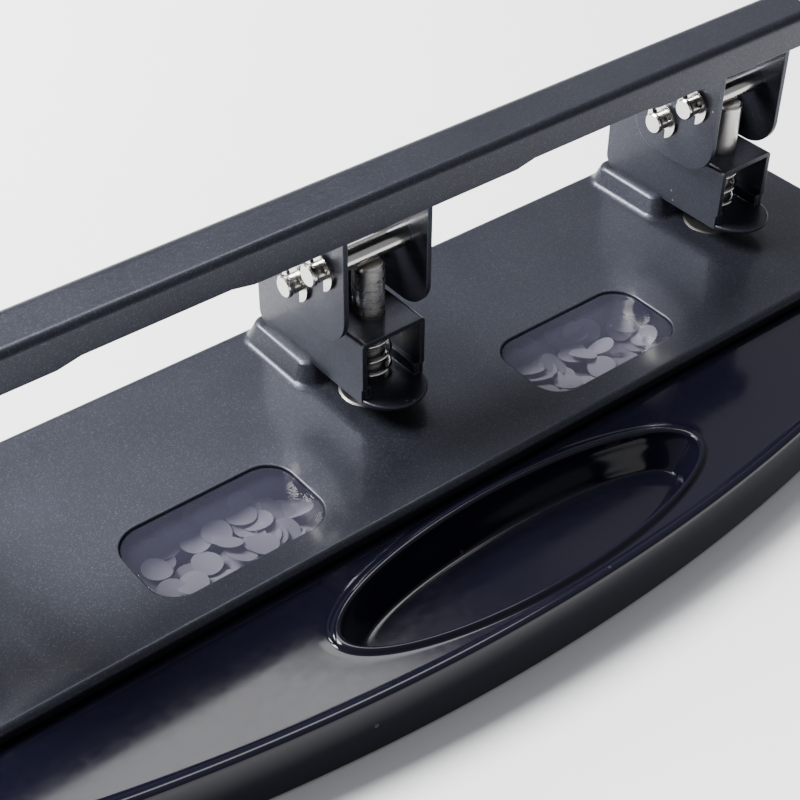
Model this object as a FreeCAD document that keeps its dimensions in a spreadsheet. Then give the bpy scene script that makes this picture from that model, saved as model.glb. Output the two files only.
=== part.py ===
"""Three-hole paper punch: a long lever over three punch heads on a steel base with a chip drawer.

Frame: millimetres, +X along the lever to the user's right, +Y away from the user, +Z up.
The origin is the middle of the object's footprint, on the surface that it stands on.
"""
import FreeCAD, Part
import math
import os
import re

import Sketcher

from FreeCAD import Placement, Rotation, Vector

SIZES = [
    # sheet metal and layout
    ("sheet", 1.2, "thickness of the painted steel sheet"),
    ("head_pitch", 108.0, "distance from one punch axis to the next"),
    ("fit", 0.06, "radial clearance of a running fit"),
    ("gap", 0.3, "clearance between parts that pass each other"),
    ("overrun", 1.0, "how far a cut runs past the metal on each side"),
    ("bevel", 0.3, "small bevel on turned parts"),
    # base cover
    ("cover_length", 275.8, "length of the base cover"),
    ("cover_front", -17.0, "front edge of the base cover"),
    ("cover_back", 52.9, "back edge of the base cover"),
    ("cover_top", 18.0, "upper face of the base cover"),
    ("cover_bottom", 1.2, "lower edge of the cover's skirts"),
    ("cover_lip", 14.9, "lower edge of the short front skirt"),
    ("corner_radius", 4.0, "radius of the cover's upright corners"),
    ("edge_radius", 1.6, "radius of the cover's rolled upper edge"),
    ("window_x", 49.7, "distance of a window's middle from the middle of the base"),
    ("window_length", 40.3, "length of a window"),
    ("window_front", -9.5, "front edge of a window"),
    ("window_back", 12.65, "back edge of a window"),
    ("window_radius", 6.5, "corner radius of a window"),
    ("window_edge", 0.35, "rounding of a window's upper edge"),
    # raised seat that each head stands on, which is also the paper stop
    ("throat", 4.58, "height of the paper throat and of the raised seats"),
    ("seat_top_half", 9.9, "half the width of a seat at its top"),
    ("seat_foot_half", 12.3, "half the width of a seat at its foot"),
    ("seat_top_front", 28.2, "front of a seat at its top"),
    ("seat_foot_front", 25.4, "front of a seat at its foot"),
    ("seat_foot_corner", 4.0, "corner radius of a seat at its foot"),
    ("seat_top_corner", 3.0, "corner radius of a seat at its top"),
    ("seat_hollow_corner", 1.8, "corner radius of the hollow under a seat"),
    ("seat_top_edge", 1.2, "rounding of a seat's upper edge"),
    ("seat_foot_edge", 1.5, "rounding at a seat's foot"),
    ("seat_root", 0.2, "depth that a seat is rooted in the cover"),
    # window pane
    ("pane_flange", 2.2, "width of a pane's flange round its window"),
    ("pane_thick", 1.4, "thickness of a pane's flange"),
    ("pane_rise", 0.6, "height of a pane's face above its flange"),
    ("pane_play", 0.1, "gap between a pane's face and its window"),
    ("pane_edge", 0.25, "rounding of a pane's face"),
    # punch, die and spring
    ("punch_y", 18.4, "distance of the punch axes behind the middle"),
    ("punch_radius", 3.32, "radius of a punch"),
    ("punch_tip", 23.2, "height of a punch's tip at rest"),
    ("punch_top", 51.35, "height of a punch's top at rest"),
    ("die_flange", 6.9, "radius of a die's flange"),
    ("die_neck", 5.5, "radius of a die's neck"),
    ("die_bottom", 14.2, "lower end of a die"),
    ("die_proud", 0.25, "height of a die above the cover"),
    ("die_land", 2.0, "depth of a die's cutting land"),
    ("die_relief", 0.5, "widening of a die's bore below the land"),
    ("die_rim", 0.05, "height of the upright rim of a die's flange"),
    ("collar_bottom", 36.35, "lower face of a punch's collar at rest"),
    ("collar_thick", 0.9, "thickness of a collar"),
    ("collar_radius", 5.5, "outer radius of a collar"),
    ("groove_radius", 2.6, "radius of the groove that a collar sits in"),
    ("wire", 0.9, "diameter of the spring wire"),
    ("coil_radius", 4.45, "mean radius of a spring"),
    ("coil_turns", 5.0, "number of turns of a spring"),
    ("coil_gap", 0.05, "gap between a spring's end and its seat"),
    ("punch_bevel", 0.5, "bevel at a punch's top"),
    ("tip_notch", 1.1, "depth of the notch in a punch's tip"),
    ("collar_mouth", 0.8, "half width of a collar's mouth as a share of the groove radius"),
    # head bracket
    ("bracket_width", 16.6, "outer width of a head bracket"),
    ("bracket_front", 9.9, "front edge of a bracket"),
    ("bracket_back", 48.2, "back edge of a bracket"),
    ("bracket_top", 38.75, "upper face of a bracket's top plate"),
    ("notch_depth", 0.45, "set-back of the lower part of a bracket's front edges"),
    ("notch_top", 26.5, "upper end of that set-back"),
    ("tower_front", 24.0, "front face of the raised tower that holds the pivot"),
    ("tower_back", 34.0, "rear end of the tower's level top"),
    ("tower_top", 51.4, "top of the tower"),
    ("tower_slit", 0.8, "gap between the tower's two front flanges"),
    ("tower_slope", 11.4, "drop of the tower's sloping rear"),
    ("tower_bend", 3.5, "rounding of the tower's corners seen from the side"),
    ("plate_bend", 1.1, "rounding of the bracket's folded upper edges"),
    # guide plate
    ("tongue_radius", 8.3, "radius of the guide plate's round tongue"),
    ("tongue_y", 11.5, "centre of the tongue's round end"),
    ("guide_back", 46.6, "back edge of a guide plate"),
    ("rivet_one", 33.6, "distance of the front rivets behind the middle"),
    ("rivet_two", 42.4, "distance of the rear rivets behind the middle"),
    ("rivet_radius", 1.55, "radius of a rivet's shank"),
    ("rivet_head", 2.8, "radius of a rivet's upper head"),
    ("rivet_rise", 1.3, "height of a rivet's upper head"),
    ("rivet_tail", 2.3, "radius of a rivet's closed tail"),
    ("rivet_drop", 0.8, "height of a rivet's closed tail"),
    ("tongue_edge", 0.45, "rounding of the tongue's edges"),
    # lever
    ("lever_length", 252.0, "length of the lever"),
    ("lever_front", 10.7, "front face of the lever"),
    ("lever_back", 24.9, "rear face of the lever"),
    ("lever_top", 73.3, "top of the lever"),
    ("lever_bottom", 65.9, "lower edge of the lever's flanges"),
    ("lever_drop", 1.0, "extra depth of the front flange beside the heads"),
    ("drop_half", 33.0, "half the length of a deeper stretch"),
    ("drop_slope", 5.0, "length over which the flange's edge slopes back"),
    ("front_bend", 1.9, "outer radius of the lever's front bend"),
    ("rear_bend", 4.5, "outer radius of the lever's rear bend"),
    ("lever_corner", 1.2, "rounding of the lever's closed ends"),
    ("drop_root", 0.6, "overlap of a deeper stretch with the flange"),
    # ears
    ("ear_outer", 11.38, "distance of an ear's outer face from the head's middle"),
    ("ear_bottom", 37.0, "lower edge of the ears"),
    ("ear_back", 37.4, "rear edge of the ears"),
    ("ear_corner", 8.0, "radius of the ears' lower corners"),
    ("ear_slope_top", 62.5, "upper end of the ears' sloping rear edge"),
    ("ear_slope_bottom", 50.0, "lower end of that edge"),
    ("ear_bend", 6.0, "rounding at the two ends of the ears' sloping edge"),
    ("yoke_bevel", 0.8, "bevel of the yoke's front fold"),
    # pins
    ("pin_radius", 2.5, "radius of the pivot and press pins"),
    ("pivot_y", 28.1, "pivot axis behind the middle"),
    ("pivot_z", 46.2, "height of the pivot axis"),
    ("press_y", 19.3, "press pin axis behind the middle at rest"),
    ("press_z", 54.0, "height of the press pin axis at rest"),
    ("pin_end", 3.7, "length of a pin beyond an ear"),
    ("clip_radius", 4.4, "outer radius of a retaining clip"),
    ("clip_thick", 0.7, "thickness of a clip"),
    ("clip_seat", 1.9, "radius of the groove that a clip snaps into"),
    ("clip_play", 0.05, "play of a clip in its groove"),
    ("clip_mouth", 0.85, "half width of a clip's mouth as a share of its seat"),
    ("tip_neck", 0.85, "depth of the neck behind a pin's tip"),
    ("tip_length", 1.3, "length of a pin's headed tip with its neck"),
    # drawer
    ("tray_front", -52.9, "foremost point of the drawer's front"),
    ("tray_curve", 430.0, "radius of the drawer's bowed front"),
    ("tray_half", 137.2, "half the length of the drawer's front"),
    ("tray_top", 15.0, "height of the ridge along the drawer's front"),
    ("tray_sink", 0.6, "depth of the level top behind that ridge"),
    ("tray_bottom", 0.6, "lower edge of the drawer's front"),
    ("tray_wall", 2.2, "wall of the drawer's front"),
    ("tray_corner", 9.0, "radius of the drawer's front corners seen from above"),
    ("ridge_edge", 1.2, "rounding of the ridge's front edge"),
    ("ridge_width", 4.2, "width of the ridge"),
    ("box_half", 129.0, "half the length of the chip box"),
    ("box_front", -17.35, "front of the chip box, against the back of the drawer's front"),
    ("box_back", 43.0, "back of the chip box"),
    ("box_bottom", 3.0, "underside of the chip box"),
    ("box_top", 13.9, "rim of the chip box"),
    ("box_wall", 1.6, "wall of the chip box"),
    ("grip_y", -34.7, "middle of the finger recess"),
    ("grip_long", 46.5, "half the length of the recess at its rim"),
    ("grip_wide", 13.4, "half the width of the recess at its rim"),
    ("grip_floor_long", 42.0, "half the length of the recess at its floor"),
    ("grip_floor_wide", 9.6, "half the width of the recess at its floor"),
    ("grip_floor", 7.0, "height of the recess's floor"),
    ("rim_width", 2.6, "width of the raised rim round the recess"),
    ("rim_root", 0.1, "depth that the rim is rooted in the level top"),
    ("rim_flare", 0.4, "height above the drawer where the recess has its full size"),
    ("rim_edge", 1.1, "rounding of the recess's inner edge"),
    ("rim_foot", 0.5, "rounding of the raised rim's outer edge"),
    ("floor_edge", 2.4, "rounding at the foot of the recess's wall"),
    ("grip_wall", 1.8, "wall round the recess"),
    # bottom plate, feet and fixings
    ("bottom_half", 136.3, "half the length of the bottom plate"),
    ("bottom_front", -46.8, "foremost point of the bottom plate"),
    ("bottom_curve", 432.0, "radius of the bottom plate's bowed front"),
    ("bottom_shoulder", 130.0, "half the length of the bottom plate's front part"),
    ("bottom_corner", 2.5, "radius of the bottom plate's rear corners"),
    ("foot_height", 1.2, "height of the rubber feet"),
    ("foot_radius", 7.0, "radius of a foot"),
    ("foot_edge", 0.5, "bevel of a foot"),
    ("foot_x", 118.0, "distance of the outer feet from the middle"),
    ("foot_back", 41.0, "distance of the rear feet behind the middle"),
    ("foot_front", -18.0, "place of the outer front feet"),
    ("inner_foot_x", 46.0, "distance of the inner feet from the middle"),
    ("inner_foot_y", -34.0, "place of the inner feet, under the drawer's front"),
    ("post_radius", 2.7, "radius of a spacer post"),
    ("post_x", 133.2, "distance of the end posts from the middle"),
    ("post_back", 47.6, "distance of the rear posts behind the middle"),
    ("post_front", -8.0, "distance of the front posts behind the middle"),
    ("screw_radius", 1.5, "radius of a screw's shank"),
    ("screw_reach", 4.5, "length of a screw in its post"),
    ("screw_cone", 0.5, "length of a screw's pointed end"),
    ("screw_head", 0.8, "height of a screw's head"),
    ("screw_slot", 0.5, "depth of a screw's drive"),
    ("tap_reach", 6.0, "depth of a post's tapped hole"),
    ("tap_cone", 0.8, "depth of the cone at that hole's end"),
]

HEADS = {"left": -1, "middle": 0, "right": 1}
SIDES = {"left": -1, "right": 1}

doc = FreeCAD.newDocument("hole_punch")
sheet = doc.addObject("Spreadsheet::Sheet", "Sizes")
for row, (alias, value, note) in enumerate(SIZES, start=1):
    sheet.set("A%d" % row, alias)
    sheet.set("B%d" % row, str(value))
    sheet.set("C%d" % row, note)
    sheet.setAlias("B%d" % row, alias)
doc.recompute()

VALUES = {alias: value for alias, value, note in SIZES}
nodes = {}


def bound(text):
    """The expression with every size's name pointing at its cell of the sheet."""
    def cell(found):
        word = found.group(0)
        return "Sizes." + word if word in VALUES else word
    return re.sub(r"[a-z][a-z_]+", cell, text)


def number(text):
    """The value of a sum of sizes, such as 'cover_top - sheet'."""
    plain = re.sub(r"[a-z][a-z_]+", lambda m: "(%r)" % VALUES[m.group(0)], text)
    return FreeCAD.Units.Quantity(plain).Value


def node(name, thing):
    """Name a finished sub-part; its label is its file's name."""
    thing.Label = name
    nodes[name] = thing
    return thing


def new_body(name, x="0", y="0"):
    body = doc.addObject("PartDesign::Body", name)
    body.Placement = Placement(Vector(number(x), number(y), 0), Rotation())
    body.setExpression("Placement.Base.x", bound(x))
    body.setExpression("Placement.Base.y", bound(y))
    return node(name, body)


def new_sketch(body, plane, height="0"):
    """A sketch on one of the body's own origin planes, moved along the plane's normal by height."""
    role = plane + "_Plane"
    face = next(f for f in body.Origin.OriginFeatures if f.Role == role)
    sketch = body.newObject("Sketcher::SketchObject", body.Name + "_sketch")
    sketch.AttachmentSupport = [(face, "")]
    sketch.MapMode = "FlatFace"
    sketch.setExpression("AttachmentOffset.Base.z", bound(height))
    return sketch


def pin_point(sketch, geo, pos, x, y):
    """Hold one point of the sketch at (x, y), both of them sums of sizes."""
    for kind, text in (("DistanceX", x), ("DistanceY", y)):
        index = sketch.addConstraint(Sketcher.Constraint(kind, -1, 1, geo, pos, number(text)))
        sketch.setExpression("Constraints[%d]" % index, bound(text))


def polygon(sketch, points):
    """A closed outline of straight lines through the given points."""
    at = [Vector(number(x), number(y), 0) for x, y in points]
    first = sketch.GeometryCount
    count = len(points)
    for i in range(count):
        sketch.addGeometry(Part.LineSegment(at[i], at[(i + 1) % count]), False)
    for i in range(count):
        sketch.addConstraint(Sketcher.Constraint("Coincident", first + i, 2, first + (i + 1) % count, 1))
    for i, (x, y) in enumerate(points):
        pin_point(sketch, first + i, 1, x, y)


def rectangle(sketch, left, right, low, high):
    polygon(sketch, [(left, low), (right, low), (right, high), (left, high)])


def circle(sketch, x, y, radius):
    centre = Vector(number(x), number(y), 0)
    geo = sketch.addGeometry(Part.Circle(centre, Vector(0, 0, 1), number(radius)), False)
    index = sketch.addConstraint(Sketcher.Constraint("Radius", geo, number(radius)))
    sketch.setExpression("Constraints[%d]" % index, bound(radius))
    pin_point(sketch, geo, 3, x, y)


def rounded_rectangle(sketch, left, right, low, high, radius):
    """A rectangle whose four corners are arcs of one radius."""
    x0, x1, y0, y1, r = [number(v) for v in (left, right, low, high, radius)]
    ends = [((x0 + r, y0), (x1 - r, y0)), ((x1, y0 + r), (x1, y1 - r)),
            ((x1 - r, y1), (x0 + r, y1)), ((x0, y1 - r), (x0, y0 + r))]
    centres = [(x1 - r, y0 + r), (x1 - r, y1 - r), (x0 + r, y1 - r), (x0 + r, y0 + r)]
    lines = [sketch.addGeometry(Part.LineSegment(Vector(*a, 0), Vector(*b, 0)), False) for a, b in ends]
    arcs = []
    for i, centre in enumerate(centres):
        start = math.radians(-90 + 90 * i)
        ring = Part.Circle(Vector(*centre, 0), Vector(0, 0, 1), r)
        arcs.append(sketch.addGeometry(Part.ArcOfCircle(ring, start, start + math.pi / 2), False))
    for i in range(4):
        sketch.addConstraint(Sketcher.Constraint("Tangent", lines[i], 2, arcs[i], 1))
        sketch.addConstraint(Sketcher.Constraint("Tangent", arcs[i], 2, lines[(i + 1) % 4], 1))
        sketch.addConstraint(Sketcher.Constraint("Vertical" if i % 2 else "Horizontal", lines[i]))
    for i in range(1, 4):
        sketch.addConstraint(Sketcher.Constraint("Equal", arcs[0], arcs[i]))
    index = sketch.addConstraint(Sketcher.Constraint("Radius", arcs[0], r))
    sketch.setExpression("Constraints[%d]" % index, bound(radius))
    for kind, geo, text in (("DistanceY", lines[0], low), ("DistanceX", lines[1], right),
                            ("DistanceY", lines[2], high), ("DistanceX", lines[3], left)):
        index = sketch.addConstraint(Sketcher.Constraint(kind, -1, 1, geo, 1, number(text)))
        sketch.setExpression("Constraints[%d]" % index, bound(text))


def bowed_outline(sketch, half, back, front, curve):
    """A straight back and sides, and a front that is an arc about a point on the Y axis."""
    h, b, f, r = [number(v) for v in (half, back, front, curve)]
    shoulder = f + r - math.sqrt(r * r - h * h)
    swing = math.asin(h / r)
    ring = Part.Circle(Vector(0, f + r, 0), Vector(0, 0, 1), r)
    bow = sketch.addGeometry(Part.ArcOfCircle(ring, -math.pi / 2 - swing, -math.pi / 2 + swing), False)
    corners = [Vector(h, shoulder, 0), Vector(h, b, 0), Vector(-h, b, 0), Vector(-h, shoulder, 0)]
    lines = [sketch.addGeometry(Part.LineSegment(corners[i], corners[i + 1]), False) for i in range(3)]
    sketch.addConstraint(Sketcher.Constraint("Coincident", bow, 2, lines[0], 1))
    sketch.addConstraint(Sketcher.Constraint("Coincident", lines[0], 2, lines[1], 1))
    sketch.addConstraint(Sketcher.Constraint("Coincident", lines[1], 2, lines[2], 1))
    sketch.addConstraint(Sketcher.Constraint("Coincident", lines[2], 2, bow, 1))
    sketch.addConstraint(Sketcher.Constraint("Vertical", lines[0]))
    sketch.addConstraint(Sketcher.Constraint("Vertical", lines[2]))
    pin_point(sketch, lines[0], 2, half, back)
    pin_point(sketch, lines[1], 2, "-(%s)" % half, back)
    pin_point(sketch, bow, 3, "0", "%s + %s" % (front, curve))
    index = sketch.addConstraint(Sketcher.Constraint("Radius", bow, r))
    sketch.setExpression("Constraints[%d]" % index, bound(curve))


def bent_channel(sketch, front, back, low, high, front_bend, rear_bend):
    """An upright section, square below, whose two upper corners are arcs of their own radii."""
    f, b, lo, hi, rf, rb = [number(v) for v in (front, back, low, high, front_bend, rear_bend)]
    runs = [((f, lo), (b, lo)), ((b, lo), (b, hi - rb)), ((b - rb, hi), (f + rf, hi)), ((f, hi - rf), (f, lo))]
    floor, rear, top, face = [
        sketch.addGeometry(Part.LineSegment(Vector(*a, 0), Vector(*c, 0)), False) for a, c in runs]
    rear_ring = Part.Circle(Vector(b - rb, hi - rb, 0), Vector(0, 0, 1), rb)
    rear_arc = sketch.addGeometry(Part.ArcOfCircle(rear_ring, 0, math.pi / 2), False)
    face_ring = Part.Circle(Vector(f + rf, hi - rf, 0), Vector(0, 0, 1), rf)
    face_arc = sketch.addGeometry(Part.ArcOfCircle(face_ring, math.pi / 2, math.pi), False)
    sketch.addConstraint(Sketcher.Constraint("Coincident", floor, 2, rear, 1))
    sketch.addConstraint(Sketcher.Constraint("Coincident", face, 2, floor, 1))
    for one, end, other in ((rear, 2, rear_arc), (rear_arc, 2, top), (top, 2, face_arc), (face_arc, 2, face)):
        sketch.addConstraint(Sketcher.Constraint("Tangent", one, end, other, 1))
    for line in (rear, face):
        sketch.addConstraint(Sketcher.Constraint("Vertical", line))
    sketch.addConstraint(Sketcher.Constraint("Horizontal", top))
    pin_point(sketch, floor, 1, front, low)
    pin_point(sketch, floor, 2, back, low)
    index = sketch.addConstraint(Sketcher.Constraint("DistanceY", -1, 1, top, 1, hi))
    sketch.setExpression("Constraints[%d]" % index, bound(high))
    for arc, text in ((face_arc, front_bend), (rear_arc, rear_bend)):
        index = sketch.addConstraint(Sketcher.Constraint("Radius", arc, number(text)))
        sketch.setExpression("Constraints[%d]" % index, bound(text))


def ellipse(sketch, y, long, wide):
    """An ellipse about (0, y), long along X and wide along Y."""
    centre = Vector(0, number(y), 0)
    a, b = number(long), number(wide)
    geo = sketch.addGeometry(Part.Ellipse(centre + Vector(a, 0, 0), centre + Vector(0, b, 0), centre), False)
    sketch.exposeInternalGeometry(geo)
    major, minor = geo + 1, geo + 2
    pin_point(sketch, geo, 3, "0", y)
    sketch.addConstraint(Sketcher.Constraint("Horizontal", major))
    for line, text in ((major, long), (minor, wide)):
        index = sketch.addConstraint(Sketcher.Constraint("Distance", line, 2 * number(text)))
        sketch.setExpression("Constraints[%d]" % index, bound("2 * (%s)" % text))


def pad(body, sketch, length, backwards=False):
    doc.recompute()
    feature = body.newObject("PartDesign::Pad", body.Name + "_pad")
    feature.Profile = sketch
    feature.setExpression("Length", bound(length))
    feature.Reversed = backwards
    doc.recompute()
    return feature


def pocket(body, sketch, length, backwards=False):
    """A cut that goes against the sketch's normal, or along it when backwards."""
    doc.recompute()
    before = body.Tip.Shape.Volume
    feature = body.newObject("PartDesign::Pocket", body.Name + "_pocket")
    feature.Profile = sketch
    feature.setExpression("Length", bound(length))
    feature.Reversed = backwards
    doc.recompute()
    if not feature.Shape.Volume < before - 0.01:
        raise RuntimeError("%s cuts nothing" % feature.Name)
    return feature


def revolve(body, sketch, axis):
    """A full turn about the sketch's own V_Axis (upright) or H_Axis (level)."""
    doc.recompute()
    feature = body.newObject("PartDesign::Revolution", body.Name + "_turned")
    feature.Profile = sketch
    feature.ReferenceAxis = (sketch, [axis])
    feature.Angle = 360.0
    doc.recompute()
    return feature


def loft(body, kind, sketches):
    doc.recompute()
    feature = body.newObject("PartDesign::" + kind, body.Name + "_loft")
    feature.Profile = sketches[0]
    feature.Sections = sketches[1:]
    doc.recompute()
    return feature


def round_edges(body, test, radius, kind="Fillet"):
    """Round or chamfer the edges of the body's tip that the test picks."""
    base = body.Tip
    names = ["Edge%d" % (i + 1) for i, edge in enumerate(base.Shape.Edges) if test(edge)]
    if not names:
        raise RuntimeError("no edges to round on %s" % body.Name)
    feature = body.newObject("PartDesign::" + kind, body.Name + "_" + kind.lower())
    feature.Base = (base, names)
    feature.setExpression("Radius" if kind == "Fillet" else "Size", bound(radius))
    doc.recompute()
    return feature


def upright(edge):
    box = edge.BoundBox
    return box.ZLength > 0.5 and box.XLength < 1e-4 and box.YLength < 1e-4


def level_at(edge, z):
    box = edge.BoundBox
    return box.ZLength < 1e-3 and abs(box.Center.z - number(z)) < 1e-3


def fold_at(edge, y, z):
    """Whether an edge lies along X at this place, seen from the side."""
    box = edge.BoundBox
    return box.XLength > 5 and abs(box.Center.y - number(y)) < 0.05 and abs(box.Center.z - number(z)) < 0.05


def head_x(side):
    return "%d * head_pitch" % side


# ---------------------------------------------------------------- base

def base_cover():
    """Folded steel cover with two windows, three die holes and three raised seats."""
    body = new_body("base_cover")
    outline = new_sketch(body, "XY", "cover_bottom")
    rectangle(outline, "-cover_length / 2", "cover_length / 2", "cover_front", "cover_back")
    pad(body, outline, "cover_top - cover_bottom")
    round_edges(body, upright, "corner_radius")
    round_edges(body, lambda e: level_at(e, "cover_top"), "edge_radius")

    for side in HEADS.values():
        foot = new_sketch(body, "XY", "cover_top - seat_root")
        rounded_rectangle(foot, head_x(side) + " - seat_foot_half", head_x(side) + " + seat_foot_half",
                          "seat_foot_front", "cover_back - edge_radius", "seat_foot_corner")
        crown = new_sketch(body, "XY", "cover_top + throat")
        rounded_rectangle(crown, head_x(side) + " - seat_top_half", head_x(side) + " + seat_top_half",
                          "seat_top_front", "cover_back - 2 * edge_radius", "seat_top_corner")
        loft(body, "AdditiveLoft", [foot, crown])
    round_edges(body, lambda e: level_at(e, "cover_top + throat"), "seat_top_edge")
    round_edges(body, lambda e: level_at(e, "cover_top") and e.BoundBox.YMax < number("cover_back - 1")
                and e.BoundBox.YMin > number("seat_foot_front - 1"), "seat_foot_edge")

    inside = new_sketch(body, "XY", "cover_bottom")
    rounded_rectangle(inside, "-cover_length / 2 + sheet", "cover_length / 2 - sheet",
                      "cover_front + sheet", "cover_back - sheet", "corner_radius - sheet")
    pocket(body, inside, "cover_top - cover_bottom - sheet", backwards=True)
    mouth = new_sketch(body, "XZ", "-cover_front + overrun")
    rectangle(mouth, "-cover_length / 2 + sheet", "cover_length / 2 - sheet", "cover_bottom - overrun",
              "cover_lip")
    pocket(body, mouth, "sheet + 2 * overrun")
    hollows = new_sketch(body, "XY", "cover_top - 2 * sheet")
    for side in HEADS.values():
        rounded_rectangle(hollows, head_x(side) + " - seat_top_half + sheet",
                          head_x(side) + " + seat_top_half - sheet",
                          "seat_top_front + sheet", "cover_back - 2 * edge_radius - sheet",
                          "seat_hollow_corner")
    pocket(body, hollows, "throat + sheet", backwards=True)

    openings = new_sketch(body, "XY", "cover_top + overrun")
    for side in SIDES.values():
        middle = "%d * window_x" % side
        rounded_rectangle(openings, middle + " - window_length / 2", middle + " + window_length / 2",
                          "window_front", "window_back", "window_radius")
    for side in HEADS.values():
        circle(openings, head_x(side), "punch_y", "die_neck")
    pocket(body, openings, "sheet + 2 * overrun")
    rivets = new_sketch(body, "XY", "cover_top + throat + overrun")
    for side in HEADS.values():
        circle(rivets, head_x(side), "rivet_one", "rivet_radius")
        circle(rivets, head_x(side), "rivet_two", "rivet_radius")
    pocket(body, rivets, "sheet + 2 * overrun")
    round_edges(body, lambda e: level_at(e, "cover_top") and e.BoundBox.YMax < number("window_back + 0.1")
                and e.BoundBox.YMin > number("window_front - 0.1"), "window_edge")


def base_bottom():
    """Flat steel plate that closes the base and carries the feet."""
    body = new_body("base_bottom")
    outline = new_sketch(body, "XY", "foot_height")
    rectangle(outline, "-bottom_half", "bottom_half", "cover_front + 2", "cover_back - sheet - gap")
    pad(body, outline, "sheet")
    front = new_sketch(body, "XY", "foot_height")
    bowed_outline(front, "bottom_shoulder", "cover_front + 3", "bottom_front", "bottom_curve")
    pad(body, front, "sheet")
    holes = new_sketch(body, "XY", "foot_height + sheet + overrun")
    for x, y in POSTS:
        circle(holes, x, y, "screw_radius")
    pocket(body, holes, "sheet + 2 * overrun")
    shoulder = number("bottom_half - gap")
    round_edges(body, lambda e: upright(e) and e.BoundBox.YMax > 0 and abs(e.BoundBox.XMax) > shoulder,
                "bottom_corner")


POSTS = [
    ("-post_x", "post_back"), ("post_x", "post_back"),
    ("-head_pitch / 2", "post_back"), ("head_pitch / 2", "post_back"),
    ("-post_x", "post_front"), ("post_x", "post_front"),
]
FEET = [
    ("-foot_x", "foot_back"), ("foot_x", "foot_back"), ("-foot_x", "foot_front"), ("foot_x", "foot_front"),
    ("-inner_foot_x", "inner_foot_y"), ("inner_foot_x", "inner_foot_y"),
]


def turned_group(name, outline, spots):
    """One turned solid, drawn as a half section about Z, repeated at each spot."""
    master = doc.addObject("PartDesign::Body", name + "_master")
    section = new_sketch(master, "XZ")
    polygon(section, outline)
    revolve(master, section, "V_Axis")
    solids = []
    for x, y in spots:
        solid = master.Shape.Solids[0].copy()
        solid.translate(Vector(number(x), number(y), 0))
        solids.append(solid)
    group = doc.addObject("Part::Feature", name)
    group.Shape = Part.makeCompound(solids)
    return node(name, group)


def base_posts():
    """Spacers between the bottom plate and the cover, tapped at their lower ends."""
    low = "foot_height + sheet"
    turned_group("base_posts", [
        ("0", low + " + tap_reach"), ("screw_radius", low + " + tap_reach - tap_cone"), ("screw_radius", low),
        ("post_radius - bevel", low), ("post_radius", low + " + bevel"),
        ("post_radius", "cover_top - sheet"), ("0", "cover_top - sheet")], POSTS)


def base_screws():
    """Pan-head screws that hold the bottom plate to the posts."""
    seat = "foot_height"
    end = "foot_height + sheet + screw_reach"
    drive = "screw_radius / 2"
    turned_group("base_screws", [
        ("0", end), ("screw_radius", end + " - screw_cone"), ("screw_radius", seat),
        ("screw_radius * 2", seat), ("screw_radius * 2", seat + " - bevel"),
        ("screw_radius * 1.5", seat + " - screw_head"), (drive, seat + " - screw_head"),
        (drive, seat + " - screw_head + screw_slot"), ("0", seat + " - screw_head + screw_slot")], POSTS)


def rubber_feet():
    """Bevelled discs under the bottom plate."""
    turned_group("rubber_feet", [
        ("0", "0"), ("foot_radius - foot_edge", "0"), ("foot_radius", "foot_edge"),
        ("foot_radius - bevel", "foot_height"), ("0", "foot_height")], FEET)


def window_pane(label, side):
    """Clear pane held under the cover, with a raised face that fills the window."""
    body = new_body("window_pane_" + label, "%d * window_x" % side)
    flange = new_sketch(body, "XY", "cover_top - sheet - pane_thick")
    rounded_rectangle(flange, "-window_length / 2 - pane_flange", "window_length / 2 + pane_flange",
                      "window_front - pane_flange", "window_back + pane_flange", "window_radius + pane_flange")
    pad(body, flange, "pane_thick")
    face = new_sketch(body, "XY", "cover_top - sheet - pane_play")
    rounded_rectangle(face, "-window_length / 2 + pane_play", "window_length / 2 - pane_play",
                      "window_front + pane_play", "window_back - pane_play", "window_radius - pane_play")
    pad(body, face, "pane_rise + pane_play")
    round_edges(body, lambda e: level_at(e, "cover_top - sheet + pane_rise"), "pane_edge")


def die(label, side):
    """Hardened ring in the cover that the punch cuts against."""
    body = new_body("die_" + label, head_x(side), "punch_y")
    section = new_sketch(body, "XZ")
    bore = "punch_radius + fit"
    polygon(section, [
        (bore, "cover_top + die_proud"), (bore, "cover_top - die_land"),
        (bore + " + die_relief", "cover_top - die_land - die_relief"), (bore + " + die_relief", "die_bottom"),
        ("die_neck", "die_bottom"), ("die_neck", "cover_top"), ("die_flange", "cover_top"),
        ("die_flange", "cover_top + die_rim"), ("die_flange - die_relief", "cover_top + die_proud")])
    revolve(body, section, "V_Axis")


# ---------------------------------------------------------------- heads

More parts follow.
